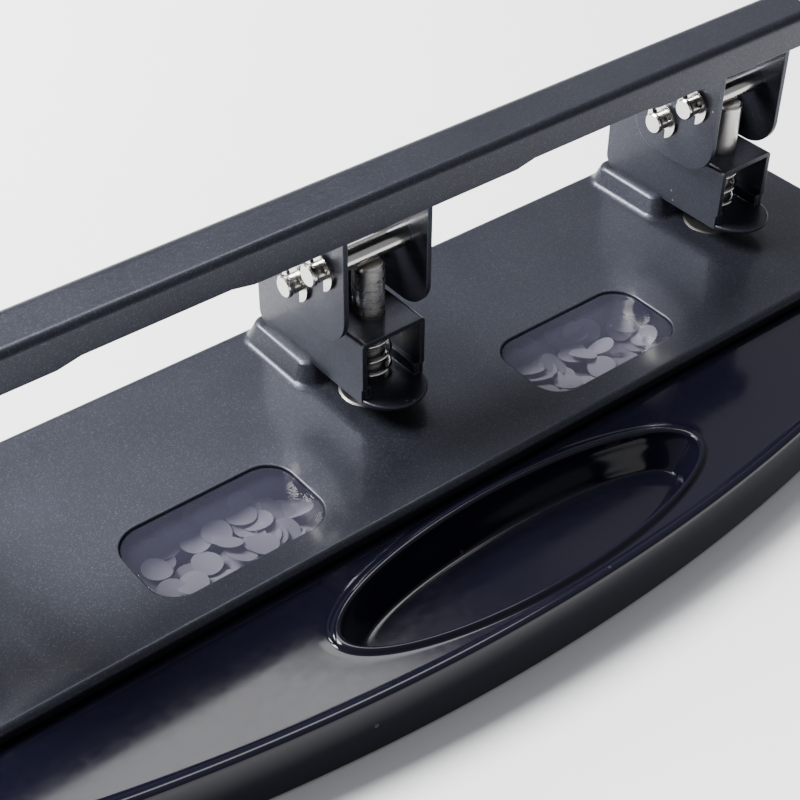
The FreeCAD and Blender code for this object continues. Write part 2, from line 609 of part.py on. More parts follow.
def head_bracket(label, side):
    """Folded U bracket: two walls, a top plate at the front and a tower round the pivot."""
    body = new_body("head_bracket_" + label, head_x(side))
    low = "cover_top + throat"
    profile = new_sketch(body, "YZ", "-bracket_width / 2")
    polygon(profile, [
        ("bracket_front + notch_depth", low), ("bracket_back", low),
        ("bracket_back", "tower_top - tower_slope"),
        ("tower_back", "tower_top"), ("tower_front", "tower_top"), ("tower_front", "bracket_top"),
        ("bracket_front", "bracket_top"), ("bracket_front", "notch_top"),
        ("bracket_front + notch_depth", "notch_top")])
    pad(body, profile, "bracket_width")

    round_edges(body, lambda e: fold_at(e, "bracket_back", low)
                or fold_at(e, "bracket_back", "tower_top - tower_slope")
                or fold_at(e, "tower_back", "tower_top")
                or fold_at(e, "tower_front", "tower_top"), "tower_bend")
    round_edges(body, lambda e: level_at(e, "bracket_top") and e.BoundBox.YLength > 5
                and e.BoundBox.XLength < 0.1, "plate_bend")

    cavity = new_sketch(body, "XZ", "-bracket_back - overrun")
    rectangle(cavity, "-bracket_width / 2 + sheet", "bracket_width / 2 - sheet", low + " - overrun",
              "bracket_top - sheet")
    pocket(body, cavity, "bracket_back + 2 * overrun", backwards=True)
    rear = new_sketch(body, "XY", "tower_top + overrun")
    rectangle(rear, "-bracket_width / 2 + sheet", "bracket_width / 2 - sheet", "tower_front + sheet",
              "bracket_back + overrun")
    pocket(body, rear, "tower_top - (%s) + 2 * overrun" % low)
    slit = new_sketch(body, "XY", "tower_top + overrun")
    rectangle(slit, "-tower_slit / 2", "tower_slit / 2", "tower_front - overrun",
              "tower_front + sheet + overrun")
    pocket(body, slit, "tower_top - bracket_top + overrun")
    guide_hole = new_sketch(body, "XY", "bracket_top + overrun")
    circle(guide_hole, "0", "punch_y", "punch_radius + fit")
    pocket(body, guide_hole, "sheet + 2 * overrun")
    pivot = new_sketch(body, "YZ", "bracket_width / 2 + overrun")
    circle(pivot, "pivot_y", "pivot_z", "pin_radius + fit")
    pocket(body, pivot, "bracket_width + 2 * overrun")


def guide_plate(label, side):
    """Shallow channel welded inside the bracket; its round tongue strips the paper off the punch."""
    body = new_body("guide_plate_" + label, head_x(side))
    low = "cover_top + throat"
    inner = "bracket_width / 2 - sheet"
    tongue = new_sketch(body, "XY", low)
    circle(tongue, "0", "tongue_y", "tongue_radius")
    pad(body, tongue, "sheet")
    trim = new_sketch(body, "XY", low + " + sheet + overrun")
    rectangle(trim, "-bracket_width", "bracket_width", "bracket_front + notch_depth", "bracket_back")
    pocket(body, trim, "sheet + 2 * overrun")
    floor = new_sketch(body, "XY", low)
    rectangle(floor, "-(%s)" % inner, inner, "bracket_front - overrun", "guide_back")
    pad(body, floor, "sheet")
    flanges = new_sketch(body, "XY", low)
    for sign in ("-1", "1"):
        near = "%s * (%s)" % (sign, inner)
        far = "%s * (%s - sheet)" % (sign, inner)
        left, right = (near, far) if sign == "-1" else (far, near)
        rectangle(flanges, left, right, "bracket_front + notch_depth", "guide_back")
    pad(body, flanges, "notch_top - (%s)" % low)
    holes = new_sketch(body, "XY", low + " + sheet + overrun")
    circle(holes, "0", "punch_y", "punch_radius + fit")
    circle(holes, "0", "rivet_one", "rivet_radius")
    circle(holes, "0", "rivet_two", "rivet_radius")
    pocket(body, holes, "sheet + 2 * overrun")
    nose = number("tongue_y - tongue_radius + overrun")
    round_edges(body, lambda e: e.BoundBox.ZLength < 1e-3 and e.BoundBox.YMin < nose
                and e.BoundBox.XLength > 10, "tongue_edge")


def punch(label, side):
    """Ground steel punch with a collar groove and a notched cutting tip."""
    body = new_body("punch_" + label, head_x(side), "punch_y")
    section = new_sketch(body, "XZ")
    groove_low = "collar_bottom"
    groove_high = "collar_bottom + collar_thick"
    polygon(section, [
        ("0", "punch_tip"), ("punch_radius", "punch_tip"), ("punch_radius", groove_low),
        ("groove_radius", groove_low), ("groove_radius", groove_high), ("punch_radius", groove_high),
        ("punch_radius", "punch_top - punch_bevel"), ("punch_radius - punch_bevel", "punch_top"),
        ("0", "punch_top")])
    revolve(body, section, "V_Axis")
    notch = new_sketch(body, "XZ", "-punch_radius - overrun")
    polygon(notch, [("-punch_radius - fit", "punch_tip - fit"), ("punch_radius + fit", "punch_tip - fit"),
                    ("0", "punch_tip + tip_notch")])
    pocket(body, notch, "2 * punch_radius + 2 * overrun", backwards=True)


def punch_collar(label, side):
    """Retaining ring that the spring pushes up, open at its back."""
    body = new_body("punch_collar_" + label, head_x(side), "punch_y")
    ring = new_sketch(body, "XY", "collar_bottom")
    circle(ring, "0", "0", "collar_radius")
    circle(ring, "0", "0", "groove_radius")
    pad(body, ring, "collar_thick")
    mouth = new_sketch(body, "XY", "collar_bottom + collar_thick + overrun")
    rectangle(mouth, "-groove_radius * collar_mouth", "groove_radius * collar_mouth", "0",
              "collar_radius + overrun")
    pocket(body, mouth, "collar_thick + 2 * overrun")


def punch_spring(label, side):
    """Return spring round the punch, between the guide plate and the collar."""
    low = number("cover_top + throat + sheet + wire / 2 + coil_gap")
    high = number("collar_bottom - wire / 2 - coil_gap")
    radius = number("coil_radius")
    rise = high - low
    helix = Part.makeHelix(rise / number("coil_turns"), rise, radius)
    ring = Part.makeCircle(number("wire / 2"), Vector(radius, 0, 0), Vector(0, 1, 0))
    coil = Part.Wire(helix).makePipeShell([Part.Wire(ring)], True, True)
    spring = doc.addObject("Part::Feature", "punch_spring_" + label)
    spring.Shape = coil
    spring.Placement = Placement(Vector(number(head_x(side)), number("punch_y"), low), Rotation())
    return node("punch_spring_" + label, spring)


def bracket_rivets():
    """Two rivets per head, through the guide plate and the raised seat."""
    top = "cover_top + throat + sheet"
    under = "cover_top + throat - sheet"
    spots = []
    for side in HEADS.values():
        spots += [(head_x(side), "rivet_one"), (head_x(side), "rivet_two")]
    turned_group("bracket_rivets", [
        ("0", top + " + rivet_rise"), ("rivet_head / 2", top + " + rivet_rise * 0.9"),
        ("rivet_head * 0.87", top + " + rivet_rise / 2"), ("rivet_head", top), ("rivet_radius", top),
        ("rivet_radius", under), ("rivet_tail", under), ("rivet_tail * 0.9", under + " - rivet_drop * 0.9"),
        ("0", under + " - rivet_drop")], spots)


# ---------------------------------------------------------------- lever

def lever_channel():
    """Long folded channel, closed at its ends, that the user presses."""
    body = new_body("lever_channel")
    half = "lever_length / 2"
    profile = new_sketch(body, "YZ", "-lever_length / 2")
    bent_channel(profile, "lever_front", "lever_back", "lever_bottom", "lever_top", "front_bend", "rear_bend")
    pad(body, profile, "lever_length")
    round_edges(body, lambda e: e.BoundBox.XLength < 0.01 and abs(e.BoundBox.XMax) > number(half) - 0.1
                and e.BoundBox.ZMax > number("lever_bottom + overrun"), "lever_corner")

    drops = new_sketch(body, "XZ", "-lever_front - sheet")
    edge = "lever_bottom + drop_root"
    deep = "lever_bottom - lever_drop"
    polygon(drops, [("-drop_half - drop_slope", "lever_bottom"), ("-drop_half", deep), ("drop_half", deep),
                    ("drop_half + drop_slope", "lever_bottom"), ("drop_half + drop_slope", edge),
                    ("-drop_half - drop_slope", edge)])
    polygon(drops, [("head_pitch - drop_half - drop_slope", "lever_bottom"), ("head_pitch - drop_half", deep),
                    (half + " - 2 * overrun", deep), (half + " - overrun", "lever_bottom"),
                    (half + " - overrun", edge),
                    ("head_pitch - drop_half - drop_slope", edge)])
    polygon(drops, [("-head_pitch + drop_half + drop_slope", "lever_bottom"),
                    ("-head_pitch + drop_half + drop_slope", edge), ("-lever_length / 2 + overrun", edge),
                    ("-lever_length / 2 + overrun", "lever_bottom"), ("-lever_length / 2 + 2 * overrun", deep),
                    ("-head_pitch + drop_half", deep)])
    pad(body, drops, "sheet")

    inside = new_sketch(body, "YZ", "-lever_length / 2 + sheet")
    bent_channel(inside, "lever_front + sheet", "lever_back - sheet", "lever_bottom - 2 * lever_drop",
                 "lever_top - sheet", "front_bend - sheet", "rear_bend - sheet")
    pocket(body, inside, "lever_length - 2 * sheet", backwards=True)


def lever_yoke(label, side):
    """Folded yoke welded inside the lever; its two ears carry the pins."""
    body = new_body("lever_yoke_" + label, head_x(side))
    top = "lever_top - sheet"
    front = "lever_front + sheet"
    rear = "lever_back - sheet - rear_bend + sheet"
    profile = new_sketch(body, "YZ", "-ear_outer")
    polygon(profile, [
        (front, "ear_bottom"), ("ear_back", "ear_bottom"), ("ear_back", "ear_slope_bottom"),
        ("lever_back - sheet", "ear_slope_top"), ("lever_back - sheet", "lever_top - rear_bend"),
        (rear, top), (front + " + yoke_bevel", top), (front, top + " - yoke_bevel")])
    pad(body, profile, "2 * ear_outer")

    round_edges(body, lambda e: fold_at(e, front, "ear_bottom") or fold_at(e, "ear_back", "ear_bottom"),
                "ear_corner")
    round_edges(body, lambda e: fold_at(e, "ear_back", "ear_slope_bottom")
                or fold_at(e, "lever_back - sheet", "ear_slope_top"), "ear_bend")
    inside = new_sketch(body, "XZ", "-lever_front + overrun")
    rectangle(inside, "-ear_outer + sheet", "ear_outer - sheet", "ear_bottom - overrun", top + " - sheet")
    pocket(body, inside, "ear_back + 2 * overrun")
    pins = new_sketch(body, "YZ", "ear_outer + overrun")
    circle(pins, "pivot_y", "pivot_z", "pin_radius")
    circle(pins, "press_y", "press_z", "pin_radius")
    pocket(body, pins, "2 * ear_outer + 2 * overrun")


def pin(name, side, y, z):
    """Turned pin through both ears, with a clip groove and a headed tip at each end."""
    body = doc.addObject("PartDesign::Body", name)
    body.Placement = Placement(Vector(number(head_x(side)), number(y), number(z)), Rotation())
    body.setExpression("Placement.Base.x", bound(head_x(side)))
    body.setExpression("Placement.Base.y", bound(y))
    body.setExpression("Placement.Base.z", bound(z))
    node(name, body)
    groove = "ear_outer + clip_play"
    shoulder = "ear_outer + 3 * clip_play + clip_thick"
    neck = "ear_outer + pin_end - tip_length"
    tip = "ear_outer + pin_end - tip_neck"
    end = "ear_outer + pin_end"
    steps = [
        (groove, "pin_radius"), (groove, "clip_seat"),
        (shoulder, "clip_seat"), (shoulder, "pin_radius - bevel"),
        (neck, "pin_radius - bevel"), (neck, "pin_radius - tip_neck"), (tip, "pin_radius - tip_neck"),
        (tip, "pin_radius + clip_play"), (end + " - bevel", "pin_radius + clip_play"),
        (end, "pin_radius - bevel"), (end, "0")]
    section = new_sketch(body, "XZ")
    mirrored = [("-(%s)" % x, radius) for x, radius in reversed(steps)]
    polygon(section, mirrored + steps)
    revolve(body, section, "H_Axis")


def e_clips():
    """Retaining clips on both ends of every pin: an open ring with three inner teeth."""
    plate = doc.addObject("PartDesign::Body", "e_clip_master")
    ring = new_sketch(plate, "YZ")
    circle(ring, "0", "0", "clip_radius")
    circle(ring, "0", "0", "clip_seat")
    pad(plate, ring, "clip_thick")
    mouth = new_sketch(plate, "YZ", "clip_thick + overrun")
    rectangle(mouth, "-clip_seat * clip_mouth", "clip_seat * clip_mouth", "-clip_radius - overrun", "0")
    pocket(plate, mouth, "clip_thick + 2 * overrun")
    relief = new_sketch(plate, "YZ", "clip_thick + overrun")
    circle(relief, "-clip_seat * 1.2", "clip_seat * 0.75", "clip_seat * 0.45")
    circle(relief, "clip_seat * 1.2", "clip_seat * 0.75", "clip_seat * 0.45")
    pocket(plate, relief, "clip_thick + 2 * overrun")
    solids = []
    for side in HEADS.values():
        for y, z in (("pivot_y", "pivot_z"), ("press_y", "press_z")):
            for end in ("ear_outer + 2 * clip_play", "-ear_outer - 2 * clip_play - clip_thick"):
                solid = plate.Shape.Solids[0].copy()
                solid.translate(Vector(number(head_x(side) + " + " + end), number(y), number(z)))
                solids.append(solid)
    group = doc.addObject("Part::Feature", "e_clips")
    group.Shape = Part.makeCompound(solids)
    node("e_clips", group)


# ---------------------------------------------------------------- drawer

def tray_front():
    """Bowed front of the pull-out drawer, with a finger recess in its top."""
    body = new_body("tray_front")
    outline = new_sketch(body, "XY", "tray_bottom")
    bowed_outline(outline, "tray_half", "box_front", "tray_front", "tray_curve")
    pad(body, outline, "tray_top - tray_bottom")
    front_corner = number("box_front - overrun")
    round_edges(body, lambda e: upright(e) and e.BoundBox.YMax < front_corner, "tray_corner")
    sunk = new_sketch(body, "XY", "tray_top + overrun")
    bowed_outline(sunk, "tray_half - ridge_width", "box_front + overrun", "tray_front + ridge_width",
                  "tray_curve - ridge_width")
    pocket(body, sunk, "tray_sink + overrun")
    hollow = new_sketch(body, "XY", "tray_bottom")
    bowed_outline(hollow, "tray_half - tray_wall", "box_front - tray_wall", "tray_front + tray_wall",
                  "tray_curve - tray_wall")
    pocket(body, hollow, "tray_top - tray_sink - tray_wall - tray_bottom", backwards=True)
    passage = new_sketch(body, "XY", "tray_bottom")
    rectangle(passage, "-bottom_half", "bottom_half", "box_front - tray_wall - 2 * overrun",
              "box_front + overrun")
    pocket(body, passage, "box_bottom - gap - tray_bottom", backwards=True)

    level = "tray_top - tray_sink"
    rim = new_sketch(body, "XY", level + " - rim_root")
    ellipse(rim, "grip_y", "grip_long + rim_width", "grip_wide + rim_width")
    pad(body, rim, "tray_sink + rim_root")
    bowl_top = new_sketch(body, "XY", level + " - tray_wall")
    ellipse(bowl_top, "grip_y", "grip_long + grip_wall", "grip_wide + grip_wall")
    bowl_foot = new_sketch(body, "XY", "grip_floor - grip_wall")
    ellipse(bowl_foot, "grip_y", "grip_floor_long + grip_wall", "grip_floor_wide + grip_wall")
    loft(body, "AdditiveLoft", [bowl_top, bowl_foot])
    cut_top = new_sketch(body, "XY", "tray_top + rim_flare")
    ellipse(cut_top, "grip_y", "grip_long", "grip_wide")
    cut_foot = new_sketch(body, "XY", "grip_floor")
    ellipse(cut_foot, "grip_y", "grip_floor_long", "grip_floor_wide")
    loft(body, "SubtractiveLoft", [cut_top, cut_foot])

    round_edges(body, lambda e: oval_at(e, "tray_top", "grip_long"), "rim_edge")
    round_edges(body, lambda e: oval_at(e, "tray_top", "grip_long + rim_width"), "rim_foot")
    round_edges(body, lambda e: oval_at(e, "grip_floor", "grip_floor_long"), "floor_edge")
    round_edges(body, lambda e: level_at(e, "tray_top") and e.BoundBox.YMin < number("tray_front + overrun"),
                "ridge_edge")


def oval_at(edge, z, long):
    """Whether an edge is the oval of this half length at height z."""
    box = edge.BoundBox
    return level_at(edge, z) and abs(box.XLength / 2 - number(long)) < 0.8 and box.YLength > 5


def chip_box():
    """Floor and four walls of the open box behind the drawer's front, which catches the chips."""
    floor_top = "box_bottom + box_wall"
    inner_front, inner_back = "box_front + box_wall", "box_back - box_wall"
    pieces = {
        "chip_floor": ("-box_half", "box_half", "box_front", "box_back", "box_bottom", floor_top),
        "chip_wall_front": ("-box_half", "box_half", "box_front", inner_front, floor_top, "box_top"),
        "chip_wall_back": ("-box_half", "box_half", inner_back, "box_back", floor_top, "box_top"),
        "chip_wall_left": ("-box_half", "-box_half + box_wall", inner_front, inner_back, floor_top, "box_top"),
        "chip_wall_right": ("box_half - box_wall", "box_half", inner_front, inner_back, floor_top, "box_top"),
    }
    for name, (left, right, front, back, low, high) in pieces.items():
        body = new_body(name)
        plan = new_sketch(body, "XY", low)
        rectangle(plan, left, right, front, back)
        pad(body, plan, "%s - (%s)" % (high, low))


# ---------------------------------------------------------------- making and writing

def write_all():
    """Stop on anything that failed, then write each sub-part to its own file."""
    doc.recompute()
    for thing in doc.Objects:
        wrong = [word for word in ("Invalid", "Error") if word in thing.State]
        if wrong:
            raise RuntimeError("%s: %s" % (thing.Name, thing.State))
    os.makedirs("parts", exist_ok=True)
    for name, thing in nodes.items():
        shape = thing.Shape
        if shape.isNull() or not shape.isValid() or not shape.Solids:
            raise RuntimeError("%s has no valid solid" % name)
        shape.exportStep("parts/%s.step" % name)
        box = shape.BoundBox
        print("%-22s solids %2d volume %9.1f  x %7.2f %7.2f  y %7.2f %7.2f  z %6.2f %6.2f" % (
            name, len(shape.Solids), shape.Volume, box.XMin, box.XMax, box.YMin, box.YMax, box.ZMin, box.ZMax))


base_cover()
base_bottom()
base_posts()
base_screws()
rubber_feet()
for label, side in SIDES.items():
    window_pane(label, side)
for label, side in HEADS.items():
    die(label, side)
    head_bracket(label, side)
    guide_plate(label, side)
    punch(label, side)
    punch_collar(label, side)
    punch_spring(label, side)
bracket_rivets()
lever_channel()
for label, side in HEADS.items():
    lever_yoke(label, side)
    pin("pivot_pin_" + label, side, "pivot_y", "pivot_z")
    pin("press_pin_" + label, side, "press_y", "press_z")
e_clips()
tray_front()
chip_box()
write_all()
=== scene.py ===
import math

import bpy
import numpy as np
from bpy.props import (
    FloatProperty,
    FloatVectorProperty,
    IntProperty,
    PointerProperty,
)
from mathutils import Matrix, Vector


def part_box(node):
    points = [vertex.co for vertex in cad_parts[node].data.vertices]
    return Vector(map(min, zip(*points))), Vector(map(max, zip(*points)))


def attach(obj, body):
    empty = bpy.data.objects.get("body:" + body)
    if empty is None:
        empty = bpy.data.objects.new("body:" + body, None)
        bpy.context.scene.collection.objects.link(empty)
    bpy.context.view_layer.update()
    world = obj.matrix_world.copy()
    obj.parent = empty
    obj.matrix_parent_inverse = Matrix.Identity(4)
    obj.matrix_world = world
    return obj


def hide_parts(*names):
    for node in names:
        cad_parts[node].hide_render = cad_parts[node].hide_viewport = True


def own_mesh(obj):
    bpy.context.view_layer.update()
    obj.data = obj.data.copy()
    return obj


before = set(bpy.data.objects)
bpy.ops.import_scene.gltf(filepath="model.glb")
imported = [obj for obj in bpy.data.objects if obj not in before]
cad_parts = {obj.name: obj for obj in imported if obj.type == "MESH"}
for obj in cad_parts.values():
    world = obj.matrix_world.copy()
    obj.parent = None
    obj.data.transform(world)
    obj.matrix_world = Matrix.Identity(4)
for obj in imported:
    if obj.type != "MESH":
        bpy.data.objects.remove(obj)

bl_info = {
    "name": "Paper Punch Finishes",
    "version": (1, 0, 0),
    "blender": (4, 5, 0),
    "location": "View3D > Sidebar > Punch",
    "description": "Drawer front, springs, paper chips, finishes and stage for a row paper punch",
    "category": "Object",
}

MM = 0.001
HEADS = ("left", "middle", "right")
SIDES = ("left", "right")

# fineness and creases of the made surfaces
BOW_STEPS = 170
REAR_STEPS = 190
SIDE_STEPS = 8
CORNER_STEPS = 20
HEEL_STEPS = 4
BOX_CORNER_STEPS = 10
STEPS_PER_TURN = 36
WIRE_SIDES = 14
CHIP_SIDES = 18
CREASE = math.radians(50)
BOX_CREASE = math.radians(40)

# chip box and how the chips lie in it
CHIP_BOX_WALL = 1.6 * MM
CHIP_BOX_ROOT = 1.2 * MM
CHIP_MARGIN = 6 * MM
CHIP_HEADROOM = 2.1 * MM
CHIP_CLEARANCE = 0.9 * MM
HEAP_MIDDLE = (-3 * MM, 1 * MM)
HEAP_REACH = (25 * MM, 15 * MM)
LOOSE_DEPTH = 1.2 * MM
STEEP_DEPTH = 3 * MM
TILT_SPREAD = 0.22
TILT_LIMIT = 0.4

# softboxes: name, place, the point that it faces, its spread, and the setting with its power
LIGHTS = (
    ("key softbox", (-0.55, 0.70, 0.88), (0.0, 0.20, 0.0), (0.8, 0.6), "key_light"),
    ("left panel", (0.25, 0.57, 1.085), (-0.08, -0.03, 0.0), (0.85, 0.4), "left_panel"),
    ("right panel", (0.95, 0.68, 0.85), (0.0, -0.03, 0.0), (0.5, 0.6), "right_panel"),
)
ROOM_TINT = (0.93, 0.95, 1.0, 1.0)
FLOOR_REACH = 3.0

# sockets of a Mix node that mixes colours
MIX_SHARE, MIX_A, MIX_B, MIX_RESULT = 0, 6, 7, 2

# parts that keep their shape, by finish

PAINTED = ["base_cover", "lever_channel"] + [
    f"{part}_{head}" for part in ("head_bracket", "guide_plate", "lever_yoke") for head in HEADS
]
TURNED = ["e_clips", "base_screws", "bracket_rivets"] + [
    f"{part}_{head}" for part in ("pivot_pin", "press_pin", "punch_collar") for head in HEADS
]
GROUND = [f"{part}_{head}" for part in ("punch", "die") for head in HEADS]
PLATED = ["base_bottom", "base_posts"]
CHIP_BOX = ["chip_floor", "chip_wall_front", "chip_wall_back", "chip_wall_left", "chip_wall_right"]


# ---------------------------------------------------------------- sizes and colours

class PunchFinishes(bpy.types.PropertyGroup):
    """Colours and gloss of the punch's finishes."""

    paint: FloatVectorProperty(
        name="Paint", description="Blue-grey metallic coat of the pressed steel parts",
        subtype="COLOR", size=3, min=0, max=1, default=(0.024, 0.0262, 0.0365))
    # this colour is also laid along the folds of the painted parts as a painted highlight
    flake_and_edge_highlight: FloatVectorProperty(
        name="Flake", description="Colour of the flakes that catch the light in the coat",
        subtype="COLOR", size=3, min=0, max=1, default=(0.20, 0.215, 0.28))
    flake_size: FloatProperty(
        name="Flake Size", description="Distance between neighbouring flakes",
        unit="LENGTH", min=0.00005, max=0.002, default=0.00022, precision=5)
    paint_gloss: FloatProperty(
        name="Paint Roughness", description="Middle roughness of the coat",
        subtype="FACTOR", min=0, max=1, default=0.41)
    plastic: FloatVectorProperty(
        name="Drawer Plastic", description="Near-black high-gloss moulding of the drawer",
        subtype="COLOR", size=3, min=0, max=1, default=(0.0035, 0.0035, 0.0085))
    steel: FloatVectorProperty(
        name="Turned Steel", description="Pins, clips, collars, screws and rivets",
        subtype="COLOR", size=3, min=0, max=1, default=(0.63, 0.61, 0.585))
    tool: FloatVectorProperty(
        name="Tool Steel", description="Ground punches and dies",
        subtype="COLOR", size=3, min=0, max=1, default=(0.66, 0.64, 0.615))
    zinc: FloatVectorProperty(
        name="Zinc Plate", description="Plated bottom plate and spacer posts",
        subtype="COLOR", size=3, min=0, max=1, default=(0.43, 0.44, 0.46))
    rubber: FloatVectorProperty(
        name="Rubber", description="Black rubber of the feet",
        subtype="COLOR", size=3, min=0, max=1, default=(0.022, 0.022, 0.024))
    pane: FloatVectorProperty(
        name="Window Pane", description="Smoky tint of the two window panes",
        subtype="COLOR", size=3, min=0, max=1, default=(0.035, 0.035, 0.055))
    pane_cover: FloatProperty(
        name="Pane Density", description="Share of what lies under a pane that its tint hides",
        subtype="FACTOR", min=0, max=1, default=0.36)
    paper: FloatVectorProperty(
        name="Paper", description="Paper of the punched chips",
        subtype="COLOR", size=3, min=0, max=1, default=(0.40, 0.395, 0.47))


class DrawerSizes(bpy.types.PropertyGroup):
    """Sizes of the drawer's bowed front."""

    bow: FloatProperty(
        name="Bow Radius", description="Radius of the bowed front edge seen from above",
        unit="LENGTH", min=0.2, max=2, default=0.430)
    corner: FloatProperty(
        name="Front Corner", description="Radius of the two front corners",
        unit="LENGTH", min=0.003, max=0.02, default=0.009)
    ridge_foot: FloatProperty(
        name="Ridge Foot", description="Distance from the front edge to the inner foot of the ridge",
        unit="LENGTH", min=0.001, max=0.005, default=0.0025)
    sink: FloatProperty(
        name="Sink", description="Depth of the level top below the ridge",
        unit="LENGTH", min=0, max=0.002, default=0.0006)
    bead: FloatProperty(
        name="Bead Height", description="Height of the rounded bead round the recess above the level top",
        unit="LENGTH", min=0, max=0.002, default=0.0009)
    wall: FloatProperty(
        name="Wall", description="Thickness of the moulding",
        unit="LENGTH", min=0.001, max=0.004, default=0.0022)
    passage: FloatProperty(
        name="Passage", description="Height that the rear wall keeps free above the bottom plate",
        unit="LENGTH", min=0, max=0.005, default=0.0028)
    recess_y: FloatProperty(
        name="Recess Middle", description="Place of the finger recess from front to back",
        unit="LENGTH", default=-0.0347)
    recess_long: FloatProperty(
        name="Recess Half Length", description="Half the length of the recess at its edge",
        unit="LENGTH", min=0.02, max=0.08, default=0.0465)
    recess_wide: FloatProperty(
        name="Recess Half Width", description="Half the width of the recess at its edge",
        unit="LENGTH", min=0.005, max=0.02, default=0.0134)
    recess_floor: FloatProperty(
        name="Recess Floor", description="Height of the recess's floor",
        unit="LENGTH", min=0.004, max=0.012, default=0.0070)


class SpringSizes(bpy.types.PropertyGroup):
    """Sizes of the punches' return springs."""

    wire: FloatProperty(
        name="Wire", description="Diameter of the spring wire",
        unit="LENGTH", min=0.0003, max=0.002, default=0.0009)
    turns: FloatProperty(
        name="Turns", description="All turns of a spring, with its closed ends",
        min=3, max=12, default=4.1)
    closed: FloatProperty(
        name="Closed Turns", description="Turns at each end that touch their neighbour",
        min=0, max=2, default=0.6)


class ChipSizes(bpy.types.PropertyGroup):
    """Sizes of the paper chips in the drawer."""

    diameter: FloatProperty(
        name="Diameter", description="Diameter of a chip, which is the punched hole's",
        unit="LENGTH", min=0.003, max=0.01, default=0.0066)
    thickness: FloatProperty(
        name="Thickness", description="Thickness of the paper",
        unit="LENGTH", min=0.00005, max=0.0005, default=0.00012)
    curl: FloatProperty(
        name="Curl", description="Height that a chip's edge curls up by",
        unit="LENGTH", min=0, max=0.002, default=0.00035)
    heap: IntProperty(
        name="Heap", description="Chips in the heap under each window",
        min=10, max=600, default=115)
    loose: IntProperty(
        name="Loose Chips", description="Chips that lie about the rest of the box",
        min=0, max=600, default=150)
    seed: IntProperty(
        name="Seed", description="Start of the row of random numbers", min=0, default=7)


class StageSettings(bpy.types.PropertyGroup):
    """Camera, lights and floor."""

    camera_place: FloatVectorProperty(
        name="Camera Place", description="Where the camera stands",
        subtype="TRANSLATION", unit="LENGTH", size=3, default=(-0.16687, -0.20063, 0.24578))
    azimuth: FloatProperty(
        name="Camera Heading", description="Turn of the camera's view from straight back towards the right",
        subtype="ANGLE", unit="ROTATION", default=math.radians(38.6883))
    elevation: FloatProperty(
        name="Camera Dip", description="How far the camera looks down",
        subtype="ANGLE", unit="ROTATION", default=math.radians(40.0466))
    roll: FloatProperty(
        name="Camera Roll", description="Turn of the camera about its own view",
        subtype="ANGLE", unit="ROTATION", default=math.radians(0.5056))
    lens: FloatProperty(
        name="Lens", description="Focal length in millimetres on a 36 mm sensor",
        min=20, max=200, default=73.24)
    floor: FloatVectorProperty(
        name="Floor", description="Pale floor", subtype="COLOR", size=3, min=0, max=1,
        default=(0.84, 0.84, 0.845))
    sky: FloatProperty(
        name="Room Light", description="Strength of the even light from all round",
        min=0, max=10, default=0.40)
    key_light: FloatProperty(
        name="Key Softbox", description="Power of the softbox high behind on the left, in watts",
        min=0, max=500, default=80.0)
    left_panel: FloatProperty(
        name="Left Panel", description="Power of the panel high behind, which the cover mirrors, in watts",
        min=0, max=500, default=9.0)
    right_panel: FloatProperty(
        name="Right Panel", description="Power of the dim panel that the drawer's right mirrors, in watts",
        min=0, max=500, default=0.25)


# ---------------------------------------------------------------- surfaces

def ring_faces(rows, columns):
    """Quads that join each ring of points to the next, closed round the rings."""
    row = np.arange(rows - 1)[:, None] * columns
    here = np.arange(columns)[None, :]
    after = (here + 1) % columns
    corners = [row + here, row + after, row + columns + after, row + columns + here]
    return np.stack(corners, axis=-1).reshape(-1, 4)


def cap_faces(first, columns, pole, facing_on=True):
    """Triangles from one ring, whose points start at index first, to a single pole point."""
    here = np.arange(columns)
    after = (here + 1) % columns
    ring = (here, after) if facing_on else (after, here)
    return np.stack([first + ring[0], first + ring[1], np.full(columns, pole)], axis=-1)


def add_piece(name, points, faces, material, body, crease=None):
    """Put points and faces into a smooth-shaded mesh piece that rides on a body."""
    mesh = bpy.data.meshes.new(name)
    mesh.from_pydata(points.reshape(-1, 3).tolist(), [], [f for block in faces for f in block.tolist()])
    mesh.polygons.foreach_set("use_smooth", np.ones(len(mesh.polygons), bool))
    mesh.materials.append(material)
    if crease is not None:
        mesh.set_sharp_from_angle(angle=crease)
    mesh.update()
    if mesh.validate():
        raise RuntimeError(f"{name}: the mesh needed repair")
    piece = bpy.data.objects.new(name, mesh)
    bpy.context.scene.collection.objects.link(piece)
    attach(piece, body)
    return piece


def add_rings(name, rings, material, body, crease):
    """Piece from an array of rings, closed at both ends by triangles to the middle of the end ring."""
    rows, columns = rings.shape[:2]
    last = rows * columns
    points = np.concatenate([rings.reshape(-1, 3), rings[[0, -1]].mean(axis=1)])
    faces = [
        ring_faces(rows, columns),
        cap_faces(0, columns, last, facing_on=False),
        cap_faces(last - columns, columns, last + 1),
    ]
    return add_piece(name, points, faces, material, body, crease)


def soften(line, times):
    """Cut the corners of an open line of points: each pass puts two points a quarter in from the ends
    of every stretch, and keeps the line's two ends."""
    for _ in range(times):
        a, b = line[:-1], line[1:]
        cut = np.stack([0.75 * a + 0.25 * b, 0.25 * a + 0.75 * b], axis=1).reshape(-1, line.shape[1])
        line = np.concatenate([line[:1], cut, line[-1:]])
    return line


def arc(centre_x, centre_y, radius, start, end, steps):
    """Points of an arc from angle start to just before angle end."""
    angle = np.linspace(start, end, steps, endpoint=False)
    return np.stack([centre_x + radius * np.cos(angle), centre_y + radius * np.sin(angle)], axis=-1)


def straight(start, end, steps):
    """Points of a straight run from start to just before end."""
    share = np.linspace(0, 1, steps, endpoint=False)[:, None]
    return (1 - share) * np.array(start) + share * np.array(end)


